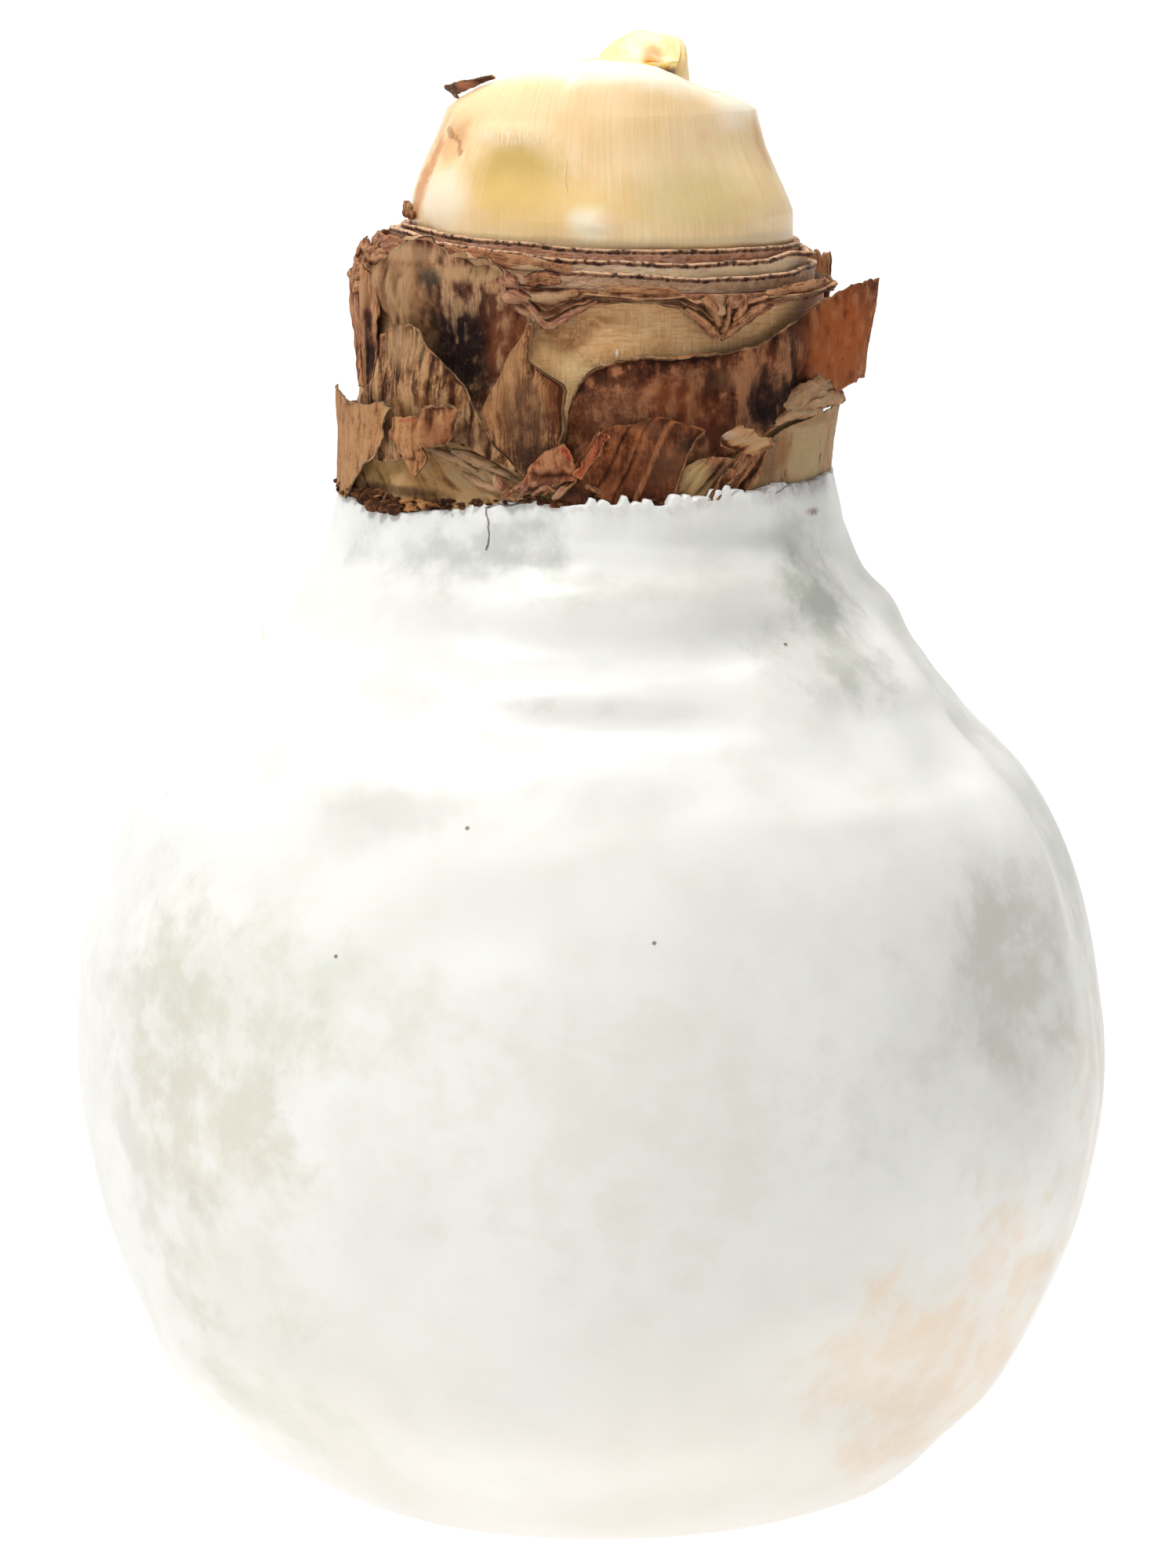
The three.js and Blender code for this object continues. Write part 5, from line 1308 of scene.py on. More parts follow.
# A torn sheet of dry skin between two rails. "bottom" and "top" give the shape of its other edges.
# roll: which edge curls over (top, left or right), its radius in mm, how far it turns in degrees,
# and the share of the edge where it does.
def paperGrid(sheet):
    first, second = np.array(sheet["first"], dtype=float), np.array(sheet["second"], dtype=float)
    byLength = bool(sheet.get("byLength"))
    seed = sheet["seed"]
    level, bulge, crown = sheet.get("level", 1), sheet.get("bulge", 0), sheet.get("crown", 0)
    (ragged, tear, wrinkle, crumple), cell = sheet["rough"], sheet.get("cell", 0.3)
    scale = (np.radians(1) * arcRadius, 1, 1)
    ends = [railAt(rail, t, byLength) * scale for rail in (first, second) for t in (0.0, 0.5, 1.0)]
    across = max(np.linalg.norm(ends[k + 3] - ends[k]) for k in (0, 1, 2))
    along = max(np.linalg.norm(ends[1] - ends[0]) + np.linalg.norm(ends[2] - ends[1]),
                np.linalg.norm(ends[4] - ends[3]) + np.linalg.norm(ends[5] - ends[4]))
    columns, rows = int(np.ceil(across / cell)), int(np.ceil(along / cell))
    v, u = np.meshgrid(np.linspace(0, 1, rows + 1), np.linspace(0, 1, columns + 1), indexing="ij")
    spot = lerp(railAt(first, v, byLength), railAt(second, v, byLength), u[..., None])
    for edge, end in (("bottom", 0.0), ("top", 1.0)):
        if edge in sheet:
            wanted = railAt(np.array(sheet[edge], dtype=float), u, True)
            found = lerp(railAt(first, end, byLength), railAt(second, end, byLength), u[..., None])
            weight = smoothStep(v, 0.35, 1) if end else 1 - smoothStep(v, 0, 0.65)
            spot = spot + (wanted - found) * weight[..., None]
    angle, height, lift = spot[..., 0], spot[..., 1], spot[..., 2]
    middle = 4 * u * (1 - u)
    lift = lift + bulge * middle * np.sin(np.pi * v ** 1.3)
    torn = ragged * (0.35 + 0.65 * v)
    angle = angle + 2.0 * torn * np.abs(2 * u - 1) ** 3 * wave(7 * v + u, seed + 4)
    height = height + torn * v ** 4 * wave(9 * u, seed) + crown * middle * v ** 3
    foot = sheet.get("foot")
    if foot == "start":
        base = lerp(railAt(first, 0.0, byLength), railAt(second, 0.0, byLength), u[..., None])
        height = height + (1 - v) ** 2 * (rimAt(base[..., 0]) + footRise - base[..., 1]) - footSink * (1 - v) ** 3
    if foot == "first":
        rail = railAt(first, v, byLength)
        height = height + (1 - u) * (rimAt(rail[..., 0]) + footRise - rail[..., 1]) - footSink * (1 - u) ** 3
    # small tears on the free edges
    du, dv = across * np.minimum(u, 1 - u), along * (1 - v)
    right = u > 0.5
    sideTear = tear * (edgeNoise(along * v + 50 * right, 2.1, seed + 11)
                       + 0.7 * edgeNoise(along * v + 90 * right, 0.6, seed + 12, 2))
    farTear = tear * (edgeNoise(across * u, 2.3, seed + 13) + 0.7 * edgeNoise(across * u, 0.6, seed + 14, 2))
    sideways = (2 * right - 1) * sideTear * np.exp(-du / 0.8) * smoothStep(v, 0.0, 0.12)
    farwards = farTear * np.exp(-dv / 0.9)
    if foot == "first":
        height = height + right * sideTear * np.exp(-across * (1 - u) / 0.9)
    elif sheet.get("runsRound"):
        height = height + sideways
        angle = angle + np.degrees(farwards / arcRadius)
    else:
        angle = angle + np.degrees(sideways / arcRadius)
        height = height + farwards
    # wrinkles along the fibres, which run up the neck, and broad crumpling
    lean = sheet.get("lean", 0.0)
    arc = np.radians(angle) * arcRadius - lean * (height - leanFoot)
    flat = np.stack([arc, height, 0 * u + seed], -1)
    lift = lift + wrinkle * roughNoise(flat * (1.0, 0.16, 1), 1.2, seed + 21, 2)
    free = np.minimum(1, 0.35 + 1.2 * (u if foot == "first" else v))
    lift = lift + crumple * roughNoise(flat * (1.0, 0.7, 1), 4.6, seed + 22, 3) * free
    lift = lift + 0.42 * crumple * roughNoise(flat * (1.0, 0.7, 1), 1.3, seed + 23, 3)
    for where, half, rise in sheet.get("creases", ()):
        lift = lift + rise * hill((u - where) / half)
    for at, up, wide, high, rise in sheet.get("dents", ()):
        lift = lift + rise * hill(np.hypot(turnBetween(angle, at) / wide, (height - up) / high))
    stand = clearGap + (level - 1) * paperStep + np.maximum(-0.12, lift) + 0.3
    points = neckPoint(angle, stand, height)
    rolled = np.zeros(points.shape[:2])
    for edge, radius, turn, start, end in sheet.get("rolls", ()):
        before = points.shape[:2]
        points = rollEdge(points, edge, radius, turn, start, end, cell, seed)
        more = (points.shape[0] - before[0], points.shape[1] - before[1])
        pads = ((0, more[0]), (more[1], 0) if edge == "left" else (0, more[1]))
        rolled = np.pad(rolled, pads, constant_values=1.0)
    return points, rolled


def rollEdge(points, edge, radius, turn, start, end, cell, seed):
    if edge in ("left", "right"):
        flipped = rollEdge(np.swapaxes(points if edge == "right" else points[:, ::-1], 0, 1), "top",
                           radius, turn, start, end, cell, seed)
        flipped = np.swapaxes(flipped, 0, 1)
        return flipped if edge == "right" else flipped[:, ::-1]
    last, before = points[-1], points[-4]
    ahead = last - before
    ahead /= np.linalg.norm(ahead, axis=-1, keepdims=True)
    out = last * (1, 1, 0)
    out /= np.linalg.norm(out, axis=-1, keepdims=True)
    out = out - ahead * np.sum(out * ahead, -1, keepdims=True)
    out /= np.linalg.norm(out, axis=-1, keepdims=True)
    share = np.linspace(0, 1, len(last))
    window = smoothStep(share, start - 0.08, start + 0.04) * (1 - smoothStep(share, end - 0.04, end + 0.08))
    sweep = np.radians(turn) * window * (0.55 + 1.1 * edgeNoise(share * 30, 6, seed + 31, 3))
    sweep = np.maximum(sweep, 0.02)
    size = radius * (1 + 0.4 * edgeNoise(share * 30, 4, seed + 33, 2))
    steps = max(3, int(np.ceil(radius * np.radians(abs(turn)) / cell * 1.3)))
    extra = []
    for k in range(1, steps + 1):
        phi = sweep * k / steps
        move = ahead * (size * np.sin(phi))[:, None] + out * (size * (1 - np.cos(phi)))[:, None]
        extra.append(last + move)
    return np.concatenate([points, np.array(extra)])


# How far each point of a sheet stands out from its surroundings.
def ridgeOf(points, cell):
    out = points * (1, 1, 0)
    out /= np.linalg.norm(out, axis=-1, keepdims=True)

    def smoothed(reach):
        near = points
        size = max(1, int(round(reach / cell)))
        for axis in (0, 1):
            pads = [(size, size) if k == axis else (0, 0) for k in range(3)]
            wide = np.pad(near, pads, mode="reflect", reflect_type="odd") if near.shape[axis] > size else near
            if wide is near:
                continue
            total = sum(np.take(wide, np.arange(k, k + near.shape[axis]), axis=axis) for k in range(2 * size + 1))
            near = total / (2 * size + 1)
        return near

    small = np.sum((points - smoothed(0.6)) * out, -1)
    wide = np.sum((points - smoothed(2.2)) * out, -1)
    return np.clip(small / 0.045 * 0.5 + wide / 0.22 * 0.7, -1.6, 1.6)


def makeSheet(sheet, materials, slot, node=None):
    points, rolled = paperGrid(sheet)
    rows, columns = points.shape[0] - 1, points.shape[1] - 1
    steps = np.zeros(points.shape[:2])
    steps[1:] = np.linalg.norm(np.diff(points, axis=0), axis=-1)
    runAlong = np.cumsum(steps, axis=0)
    steps = np.zeros(points.shape[:2])
    steps[:, 1:] = np.linalg.norm(np.diff(points, axis=1), axis=-1)
    runAcross = np.cumsum(steps, axis=1)
    free = {"left": runAcross, "right": runAcross[:, -1:] - runAcross, "top": runAlong[-1:] - runAlong,
            "bottom": runAlong}
    tornBy = np.full(points.shape[:2], 9.0)
    for edge in sheet.get("torn", ("left", "right", "top")):
        tornBy = np.minimum(tornBy, free[edge])
    turn = np.degrees(np.arctan2(points[..., 0] - neckMiddle, -points[..., 1]))
    centre = sheet["first"][0][0]
    arcs = np.radians(turnBetween(turn, centre) + centre) * arcRadius
    fibres = arcs - sheet.get("lean", 0.0) * (points[..., 2] - leanFoot)
    grain = np.stack([fibres, points[..., 2], np.full(points.shape[:2], 3.7 * sheet["seed"])], -1)
    faces = gridFaces(rows, columns)
    if sheet.get("runsRound") or sheet.get("foot") == "first":
        faces = faces[:, ::-1]
    masks = {"place": placesOf(arcs, points[..., 2]), "grain": grain, "torn": tornBy, "rolled": rolled,
             "ridge": ridgeOf(points, sheet.get("cell", 0.3))}
    thicken(makePiece(sheet["name"], points, faces, materials, slot, masks, node), paperThickness)


brownTones = [(0.05, 0.019, 0.011), (0.16, 0.064, 0.034), (0.4, 0.225, 0.125)]
tanTones = [(0.11, 0.048, 0.024), (0.33, 0.17, 0.086), (0.6, 0.4, 0.225)]
redTones = [(0.045, 0.013, 0.006), (0.125, 0.04, 0.015), (0.27, 0.11, 0.048)]

# first, second, top, bottom: the rails, as angle, height, lift. rough: how ragged the edges are, how torn,
# how wrinkled and how crumpled. stains, among them some painted shade, painted highlight and painted glow: angle,
# height, half-widths, colour, strength.
skinSheets = [
    dict(name="paleSkin", slot="scale_skin", foot="first", seed=17, first=[(-118, 110, 0.1), (-90, 110, 0.1),
         (-60, 110, 0.1), (-35, 110, 0), (-12, 110, 0)], second=[(-118, 117, 0.3), (-90, 118.2, 0.2),
         (-60, 117.5, 0.1), (-33, 115.8, 0), (-10, 112.8, 0)], torn=("right",), lean=-0.9, rough=(0.4, 0.35, 0.12,
         0.34), tones=[(0.33, 0.18, 0.075), (0.6, 0.42, 0.21), (0.72, 0.58, 0.37)], edge=(0.66, 0.5, 0.31),
         stainsAndPaintedLight=[(-62, 113, 6, 2.2, (0.44, 0.34, 0.12), 0.5), (-40, 111.8, 6, 1.6, (0.48, 0.28, 0.09), 0.4),
         (-22, 113.3, 3.5, 1.2, (0.8, 0.66, 0.44), 0.8), (-30, 112.2, 2.5, 1, (0.84, 0.72, 0.5), 0.7),
         (-52, 110.4, 7, 0.6, (0.05, 0.025, 0.015), 0.8), (-14, 112, 3, 1, (0.42, 0.25, 0.13), 0.6)],
         redness=0.35, fibre=0.8, streaks=0.5, mottle=0.8),
    # its near-black stains in the lower middle are painted shade in the hollow
    dict(name="hollowSkin", slot="brown_skin", seed=2, byLength=True, first=[(-29.5, 116.5, 0), (-39, 119.5, 0),
         (-50, 124, 0.2), (-57, 127.8, 0.5), (-61.5, 130, 0.8), (-64.5, 132.5, 1.1), (-60, 134.2, 1.2),
         (-52, 135.6, 1.3)], second=[(-26.5, 116.5, 0), (-22, 123, 0.3), (-17, 126.5, 0.5), (-15, 128.2, 0.7),
         (-16, 129.8, 0.9), (-20, 131.2, 1.2), (-21.5, 133.4, 1.4)], top=[(-52, 135.6, 1.2), (-48.5, 136.7, 1.3),
         (-44, 136.5, 1.3), (-39.5, 136, 1.4), (-36, 135.4, 1.5), (-31, 134.9, 1.5), (-28.5, 134.2, 1.3),
         (-24.5, 134.3, 1.4), (-21.5, 133.4, 1.4)], cell=0.26, dents=[(-38, 124.5, 10, 4.5, -0.6),
         (-31, 130.5, 7, 1.6, 0.35), (-50, 131, 4, 3, 0.4), (-42, 130.5, 3, 3, -0.3)],
         rolls=[("top", 0.85, 165, 0.04, 0.96)], streaks=0.75, mottle=0.7, paleCurl=0.95, rough=(0.15, 0.22, 0.16,
         0.5), tones=[(0.065, 0.027, 0.019), (0.2, 0.1, 0.062), (0.44, 0.3, 0.19)], edge=(0.82, 0.64, 0.42),
         stainsAndPaintedLight=[(-52, 131, 6, 4.2, (0.36, 0.235, 0.125), 0.8), (-29, 133.4, 6.5, 0.9, (0.72, 0.54, 0.33), 0.9),
         (-45, 126.6, 3, 1.8, (0.48, 0.32, 0.18), 0.8), (-47, 135.2, 5, 0.9, (0.74, 0.57, 0.36), 0.9),
         (-50, 127, 5, 3, (0.3, 0.18, 0.09), 0.6), (-41, 132.8, 1.8, 1.2, (0.045, 0.042, 0.036), 0.85),
         (-30, 128.2, 6, 3.6, (0.05, 0.018, 0.013), 0.85), (-34, 123.2, 5.6, 4, (0.007, 0.003, 0.003), 0.97),
         (-31, 126.4, 5.5, 2.8, (0.016, 0.006, 0.005), 0.9), (-20, 126.5, 2.5, 4.2, (0.3, 0.115, 0.05), 0.6)],
         redness=0.15),
    dict(name="sideSkin", slot="brown_skin", seed=7, first=[(-75, 120.5, 0.1), (-85, 125, 0.3), (-91, 129.3, 1),
         (-85, 132.6, 1.1)], second=[(-66, 120.5, 0), (-64, 125, 0.1), (-60.5, 129.3, 0.9), (-64, 132.4, 1.1)],
         crown=0.6, creases=[(0.35, 0.06, -0.35), (0.7, 0.05, 0.3)], rough=(0.5, 0.3, 0.16, 0.45),
         tones=[(0.085, 0.03, 0.018), (0.27, 0.115, 0.06), (0.48, 0.28, 0.16)], edge=(0.6, 0.42, 0.27),
         stainsAndPaintedLight=[(-68, 124, 1.4, 4.2, (0.02, 0.008, 0.006), 0.9), (-66, 131, 2, 1.8, (0.5, 0.32, 0.19), 0.6)],
         redness=0.5),
    # the pale stain near its top is a painted highlight
    dict(name="stripedFlap", slot="tan_skin", level=2, seed=3, byLength=True, first=[(-62, 113, 0), (-68, 116, 0.1),
         (-67, 119.6, 0.2), (-60, 122.2, 0.3), (-57.5, 124, 0.4), (-57, 126.6, 0.8)], second=[(-14.2, 112.6, 0.1),
         (-18.5, 114.4, 0.2), (-22, 115.8, 0.3), (-25.5, 118.2, 0.5), (-29.5, 121.4, 0.7), (-32, 122.6, 0.8),
         (-36.5, 124.3, 0.9), (-40, 125.8, 0.9), (-43, 127.4, 1), (-45.5, 127.8, 1)], top=[(-57, 126.6, 0.7),
         (-54, 126.9, 0.8), (-50, 127.6, 0.9), (-45.5, 127.8, 1)], bottom=[(-62, 113, 0), (-50, 113.6, 0.1),
         (-38, 115.2, 0.2), (-31, 115.9, 0.2), (-25, 114.8, 0.2), (-14.2, 112.6, 0.1)], bulge=0.5,
         rolls=[("right", 0.22, 100, 0.3, 0.9)], torn=("right", "top", "bottom"), dents=[(-52, 122.5, 3, 3.5, -0.35),
         (-44, 121.5, 3, 4, 0.4), (-58, 118, 4, 2, -0.4)], rough=(0.15, 0.2, 0.22, 0.45),
         tones=[(0.095, 0.042, 0.022), (0.3, 0.165, 0.085), (0.62, 0.43, 0.25)], edge=(0.78, 0.57, 0.36),
         stripes=0.75, fibre=0.8, mottle=0.8, stainsAndPaintedLight=[(-57, 118, 5.5, 2, (0.075, 0.03, 0.018), 0.85),
         (-42, 118.5, 4, 2.2, (0.27, 0.15, 0.055), 0.5), (-28, 116.8, 4, 1.6, (0.1, 0.042, 0.022), 0.7),
         (-47, 125.5, 3, 2, (0.66, 0.5, 0.31), 0.6)]),
    dict(name="curledFlap", slot="tan_skin", level=2, foot="start", seed=4, byLength=True, first=[(-93, 110.2, 0),
         (-91.5, 114.4, 0.2), (-90, 117.6, 0.5), (-88, 120.3, 0.9)], second=[(-72, 110.2, 0.2), (-64, 112.4, 0.5),
         (-56, 114.2, 0.9), (-51, 116, 1.4), (-50.5, 117.4, 1.8), (-46.5, 119.3, 2.4)], top=[(-88, 120.3, 0.9),
         (-76, 119.6, 1), (-68, 119, 1.2), (-60, 119.2, 1.6), (-52, 119.6, 2), (-46.5, 119.3, 2.4)], cell=0.25,
         rolls=[("right", 0.45, 100, 0.1, 0.9), ("top", 0.35, 110, 0.1, 0.95)], rough=(0.1, 0.15, 0.1, 0.3),
         tones=[(0.23, 0.108, 0.05), (0.52, 0.3, 0.15), (0.74, 0.5, 0.28)], edge=(0.76, 0.54, 0.33), redness=0.12,
         fibre=0.9, lean=0.35),
    dict(name="tornLeaflet", slot="tan_skin", level=4, seed=5, byLength=True, first=[(-40.2, 112.2, -0.8),
         (-41.8, 113.2, -0.4), (-44, 114.4, 0), (-46, 115.6, 0.1), (-48, 116.4, 0.2), (-47.2, 117.3, 0.2),
         (-47.3, 118.1, 0.3)], second=[(-39.8, 112.3, -0.8), (-37.8, 113.5, -0.4), (-37.2, 114.3, -0.1),
         (-38.6, 115.4, 0.1), (-36, 115.6, 0.2), (-32, 116, 0.4), (-30, 117.3, 0.6), (-28, 119.3, 1)],
         top=[(-47.3, 118.1, 0.3), (-42.5, 118.3, 0.4), (-39, 118.7, 0.5), (-37.5, 119.3, 0.7), (-34, 119.7, 0.8),
         (-31, 119.8, 0.9), (-28, 119.3, 1)], bulge=0.3, cell=0.18, rolls=[("top", 0.28, 100, 0.1, 0.9),
         ("right", 0.25, 110, 0.15, 0.9)], rough=(0.1, 0.22, 0.12, 0.35), tones=[(0.18, 0.08, 0.036),
         (0.39, 0.205, 0.098), (0.58, 0.37, 0.2)], edge=(0.68, 0.46, 0.27),
         stainsAndPaintedLight=[(-42.5, 118.2, 1.2, 0.4, (0.45, 0.1, 0.06), 0.6), (-33, 117, 2.5, 1.5, (0.24, 0.1, 0.05), 0.5)],
         redness=0.3),
    # the dark stain down its middle is partly painted shade and partly darker skin
    dict(name="foldedFlap", slot="brown_skin", level=2, seed=6, byLength=True, first=[(-14, 112.6, -0.1),
         (-18, 114.3, 0), (-22.3, 116, 0.1), (-25.4, 118.2, 0.3), (-25, 119.7, 0.4), (-22.5, 121.8, 0.5),
         (-20.5, 123.8, 0.7), (-18, 125.7, 0.9), (-15.8, 127.2, 1.1), (-14.6, 128.6, 1.3)], second=[(-7, 112.3, 0),
         (-6.6, 116, 0.3), (-6.5, 118.2, 0.4), (-6.8, 120.2, 0.6), (-6.9, 122, 0.8), (-9.5, 122.9, 0.9),
         (-12.6, 123.9, 1), (-14.4, 125, 1.1), (-13.8, 127, 1.3), (-13.6, 128.5, 1.4)], bulge=0.8, cell=0.24,
         rolls=[("right", 0.3, 120, 0.1, 0.8)], torn=("right", "top", "left"), rough=(0.1, 0.15, 0.12, 0.3),
         tones=[(0.065, 0.028, 0.014), (0.215, 0.105, 0.05), (0.49, 0.31, 0.165)], edge=(0.5, 0.32, 0.18),
         stripes=0.35, fibre=1.25, stainsAndPaintedLight=[(-14.5, 118.5, 2.6, 4.5, (0.13, 0.062, 0.032), 0.7),
         (-19, 124.5, 1.8, 4, (0.52, 0.35, 0.18), 0.6), (-8, 121, 1.2, 3, (0.34, 0.13, 0.055), 0.5),
         (-12, 114.5, 3.5, 1.8, (0.065, 0.028, 0.015), 0.7), (-22, 119, 2, 3, (0.3, 0.17, 0.08), 0.4)]),
    # its near-black stains are painted shade in its hollows and beside the front skin's edge, and the orange patch on
    # the right is painted glow of light through the skin
    dict(name="wrappingSkin", slot="brown_skin", runsRound=True, seed=8, first=[(-6.3, 113, 0), (0, 112.6, 0),
         (9, 112.6, 0), (20, 113, 0), (38, 114.8, 0.1), (54, 118.1, 0.4), (68, 120, 1.2), (77, 120.6, 2.4),
         (85, 121.4, 3.6)], second=[(-5.2, 119.2, 0.1), (-1.4, 122.8, 0.3), (8.4, 124.5, 0.3), (19, 124.6, 0.2),
         (37.5, 125.2, 0.3), (54, 127.6, 0.6), (69, 130, 1.5), (77, 131, 3.2), (86, 131.3, 5.2)], cell=0.28,
         rolls=[("right", 0.35, 140, 0.06, 0.7)], dents=[(46, 120.5, 12, 3, -0.5), (14, 119, 9, 4, 0.55),
         (38, 122, 3, 4, 0.45), (50, 124.5, 5, 2, 0.5), (60, 121.5, 4, 3, -0.4), (28, 121, 3, 4, -0.3)],
         rough=(0.3, 0.3, 0.07, 0.45), tones=[(0.06, 0.022, 0.012), (0.155, 0.06, 0.031), (0.33, 0.175, 0.1)],
         edge=(0.52, 0.3, 0.16), stainsAndPaintedLight=[(61, 125.6, 4.5, 2.8, (0.04, 0.018, 0.013), 0.9),
         (26, 116.6, 4, 1.6, (0.05, 0.02, 0.014), 0.85), (60, 129.6, 5, 1.2, (0.42, 0.26, 0.16), 0.7),
         (50, 119.5, 4.5, 3.2, (0.018, 0.013, 0.016), 0.9), (58, 123, 2.5, 3.2, (0.035, 0.013, 0.01), 0.8),
         (40, 118.5, 4, 2, (0.035, 0.014, 0.01), 0.7), (20, 119.5, 3.5, 3, (0.24, 0.075, 0.027), 0.6),
         (72, 125.5, 6, 5.5, (0.5, 0.165, 0.05), 0.85), (36, 122.5, 5, 1.2, (0.33, 0.19, 0.115), 0.5),
         (5, 119.5, 3.5, 3, (0.22, 0.11, 0.065), 0.5), (30, 118, 2.5, 3, (0.21, 0.065, 0.024), 0.5)], redness=0.45,
         streaks=0.45, mottle=1.1),
    dict(name="frontSkin", slot="red_skin", level=2, foot="start", seed=9, byLength=True, first=[(-8.6, 110.2, 0),
         (-7.6, 111.4, 0.1), (-5, 112.8, 0.1), (-2.8, 114.2, 0.2), (-1, 115.6, 0.3), (1, 117, 0.4)],
         second=[(18.2, 110, 0), (19.4, 111.7, 0.2), (21, 113.6, 0.3), (23, 115.8, 0.5), (24.5, 116.8, 0.7),
         (26, 117.3, 0.9)], top=[(1, 117, 0.4), (4.7, 117.9, 0.5), (9.2, 118.2, 0.6), (11.7, 118.5, 0.6),
         (14.5, 118.8, 0.7), (17, 118.6, 0.7), (19.5, 118.3, 0.8), (23.2, 117.9, 0.9), (26, 117.3, 0.9)], bulge=0.3,
         cell=0.26, creases=[(0.52, 0.01, -0.2), (0.34, 0.008, -0.14), (0.7, 0.03, 0.15)],
         rolls=[("right", 0.3, 100, 0.1, 0.95)], rough=(0.1, 0.12, 0.05, 0.22), tones=redTones, edge=(0.46, 0.25,
         0.13), stainsAndPaintedLight=[(18, 114, 3, 2.6, (0.27, 0.155, 0.09), 0.5),
         (23.5, 116.2, 2.2, 1.6, (0.06, 0.028, 0.018), 0.8), (9, 112.5, 5, 2.5, (0.13, 0.036, 0.012), 0.5),
         (14, 117.6, 2.5, 0.8, (0.24, 0.13, 0.07), 0.5), (-5, 111.4, 2.5, 1.6, (0.07, 0.032, 0.018), 0.8)],
         redness=0.2, fibre=0.6, streaks=0.6, mottle=0.9),
    dict(name="redStrip", slot="red_skin", level=3, seed=10, first=[(-3.2, 112.9, 0.1), (-1.4, 114.3, 0.4),
         (2.4, 117.5, 1.1)], second=[(-2.2, 112.6, 0.1), (1, 114.6, 0.4), (4, 117.3, 1.1)], cell=0.12,
         rolls=[("right", 0.22, 150, 0, 1), ("left", 0.18, 120, 0, 1)], rough=(0.1, 0.15, 0.12, 0.2),
         tones=[(0.26, 0.06, 0.032), (0.5, 0.155, 0.08), (0.72, 0.36, 0.2)], edge=(0.8, 0.5, 0.3), redness=0.1,
         rim="red"),
    dict(name="redScrap", slot="red_skin", level=3, seed=11, byLength=True, first=[(-15, 111.8, -0.6),
         (-13.6, 113.2, 0), (-12.3, 114.2, 0.1), (-10.2, 115.1, 0.3), (-8, 115.7, 0.4)], second=[(-2.6, 112.4, -0.4),
         (-3, 113.6, 0.1), (-3.4, 114.4, 0.3), (-3.8, 115.3, 0.5), (-5.2, 116.1, 0.6)], top=[(-8, 115.7, 0.4),
         (-6.6, 116, 0.5), (-5.2, 116.1, 0.6)], bulge=0.3, cell=0.17, rough=(0.15, 0.22, 0.12, 0.45),
         tones=[(0.13, 0.042, 0.026), (0.31, 0.125, 0.072), (0.48, 0.27, 0.16)], edge=(0.54, 0.27, 0.16),
         stainsAndPaintedLight=[(-4.6, 115.4, 0.9, 0.8, (0.33, 0.024, 0.018), 0.85), (-9, 112.6, 2, 1, (0.16, 0.07, 0.04), 0.6)],
         redness=0.35, rim="red"),
    dict(name="cornerSkin", slot="brown_skin", level=2, foot="start", seed=12, byLength=True,
         first=[(18.4, 110.2, -0.3), (20, 112.2, -0.1), (22, 113.5, 0.1), (24.5, 114.2, 0.3)], second=[(41, 110.8, 0),
         (41.5, 112, 0.1), (42.5, 113.4, 0.2), (44, 114.8, 0.3)], top=[(24.5, 114.2, 0.3), (28, 114.6, 0.4),
         (34, 114.5, 0.4), (38, 115.2, 0.3), (44, 114.8, 0.3)], cell=0.2, rough=(0.15, 0.25, 0.24, 0.45),
         tones=[(0.06, 0.026, 0.014), (0.22, 0.105, 0.053), (0.44, 0.27, 0.155)], edge=(0.5, 0.33, 0.19),
         stainsAndPaintedLight=[(23.8, 112.4, 1.7, 2, (0.62, 0.52, 0.29), 0.97), (31, 113.2, 1.6, 1, (0.06, 0.024, 0.012), 0.6)],
         redness=0.3, lean=0.8),
    dict(name="cornerSliver", slot="tan_skin", level=3, foot="start", seed=13, first=[(27, 110.2, 0.1),
         (29.2, 111.8, 0.2), (31.8, 113.4, 0.5)], second=[(28.6, 110.2, 0.1), (31.2, 111.6, 0.2), (33.6, 112.9, 0.5)],
         cell=0.12, rolls=[("right", 0.25, 150, 0, 1), ("left", 0.2, 90, 0, 1)], rough=(0.1, 0.15, 0.15, 0.2),
         tones=[(0.17, 0.075, 0.036), (0.42, 0.225, 0.115), (0.6, 0.38, 0.22)], edge=(0.66, 0.44, 0.27)),
    dict(name="tanCurl", slot="tan_skin", level=3, seed=14, byLength=True, first=[(30, 115.6, -0.6),
         (29.9, 116.7, 0.2), (30.9, 117.3, 0.8), (32.3, 117.9, 1.3)], second=[(38, 114.6, 0), (39.5, 115.3, 0.8),
         (40.2, 115.8, 1.4), (39, 116.3, 1.9)], top=[(32.3, 117.9, 1.3), (34, 117.5, 1.6), (35.4, 117.4, 1.6),
         (36.1, 116.8, 1.7), (38.2, 116.4, 1.9), (39, 116.3, 1.9)], bulge=0.7, cell=0.15, lean=0.6,
         rolls=[("right", 0.3, 130, 0, 1)], rough=(0.15, 0.25, 0.34, 0.5), tones=[(0.24, 0.105, 0.042),
         (0.54, 0.32, 0.155), (0.82, 0.62, 0.38)], edge=(0.9, 0.74, 0.52),
         stainsAndPaintedLight=[(30.8, 116.9, 0.8, 0.5, (0.97, 0.94, 0.88), 0.97),
         (32.5, 117.4, 1.2, 0.8, (0.28, 0.1, 0.035), 0.6)]),
    dict(name="sideBand", slot="tan_skin", foot="first", seed=15, first=[(40, 110.6, 0), (58, 111, 0), (78, 111, 0),
         (97, 111, 0)], second=[(41, 113.6, 0.1), (54, 117, 0.4), (76, 118.2, 0.9), (97, 118.5, 0.9)],
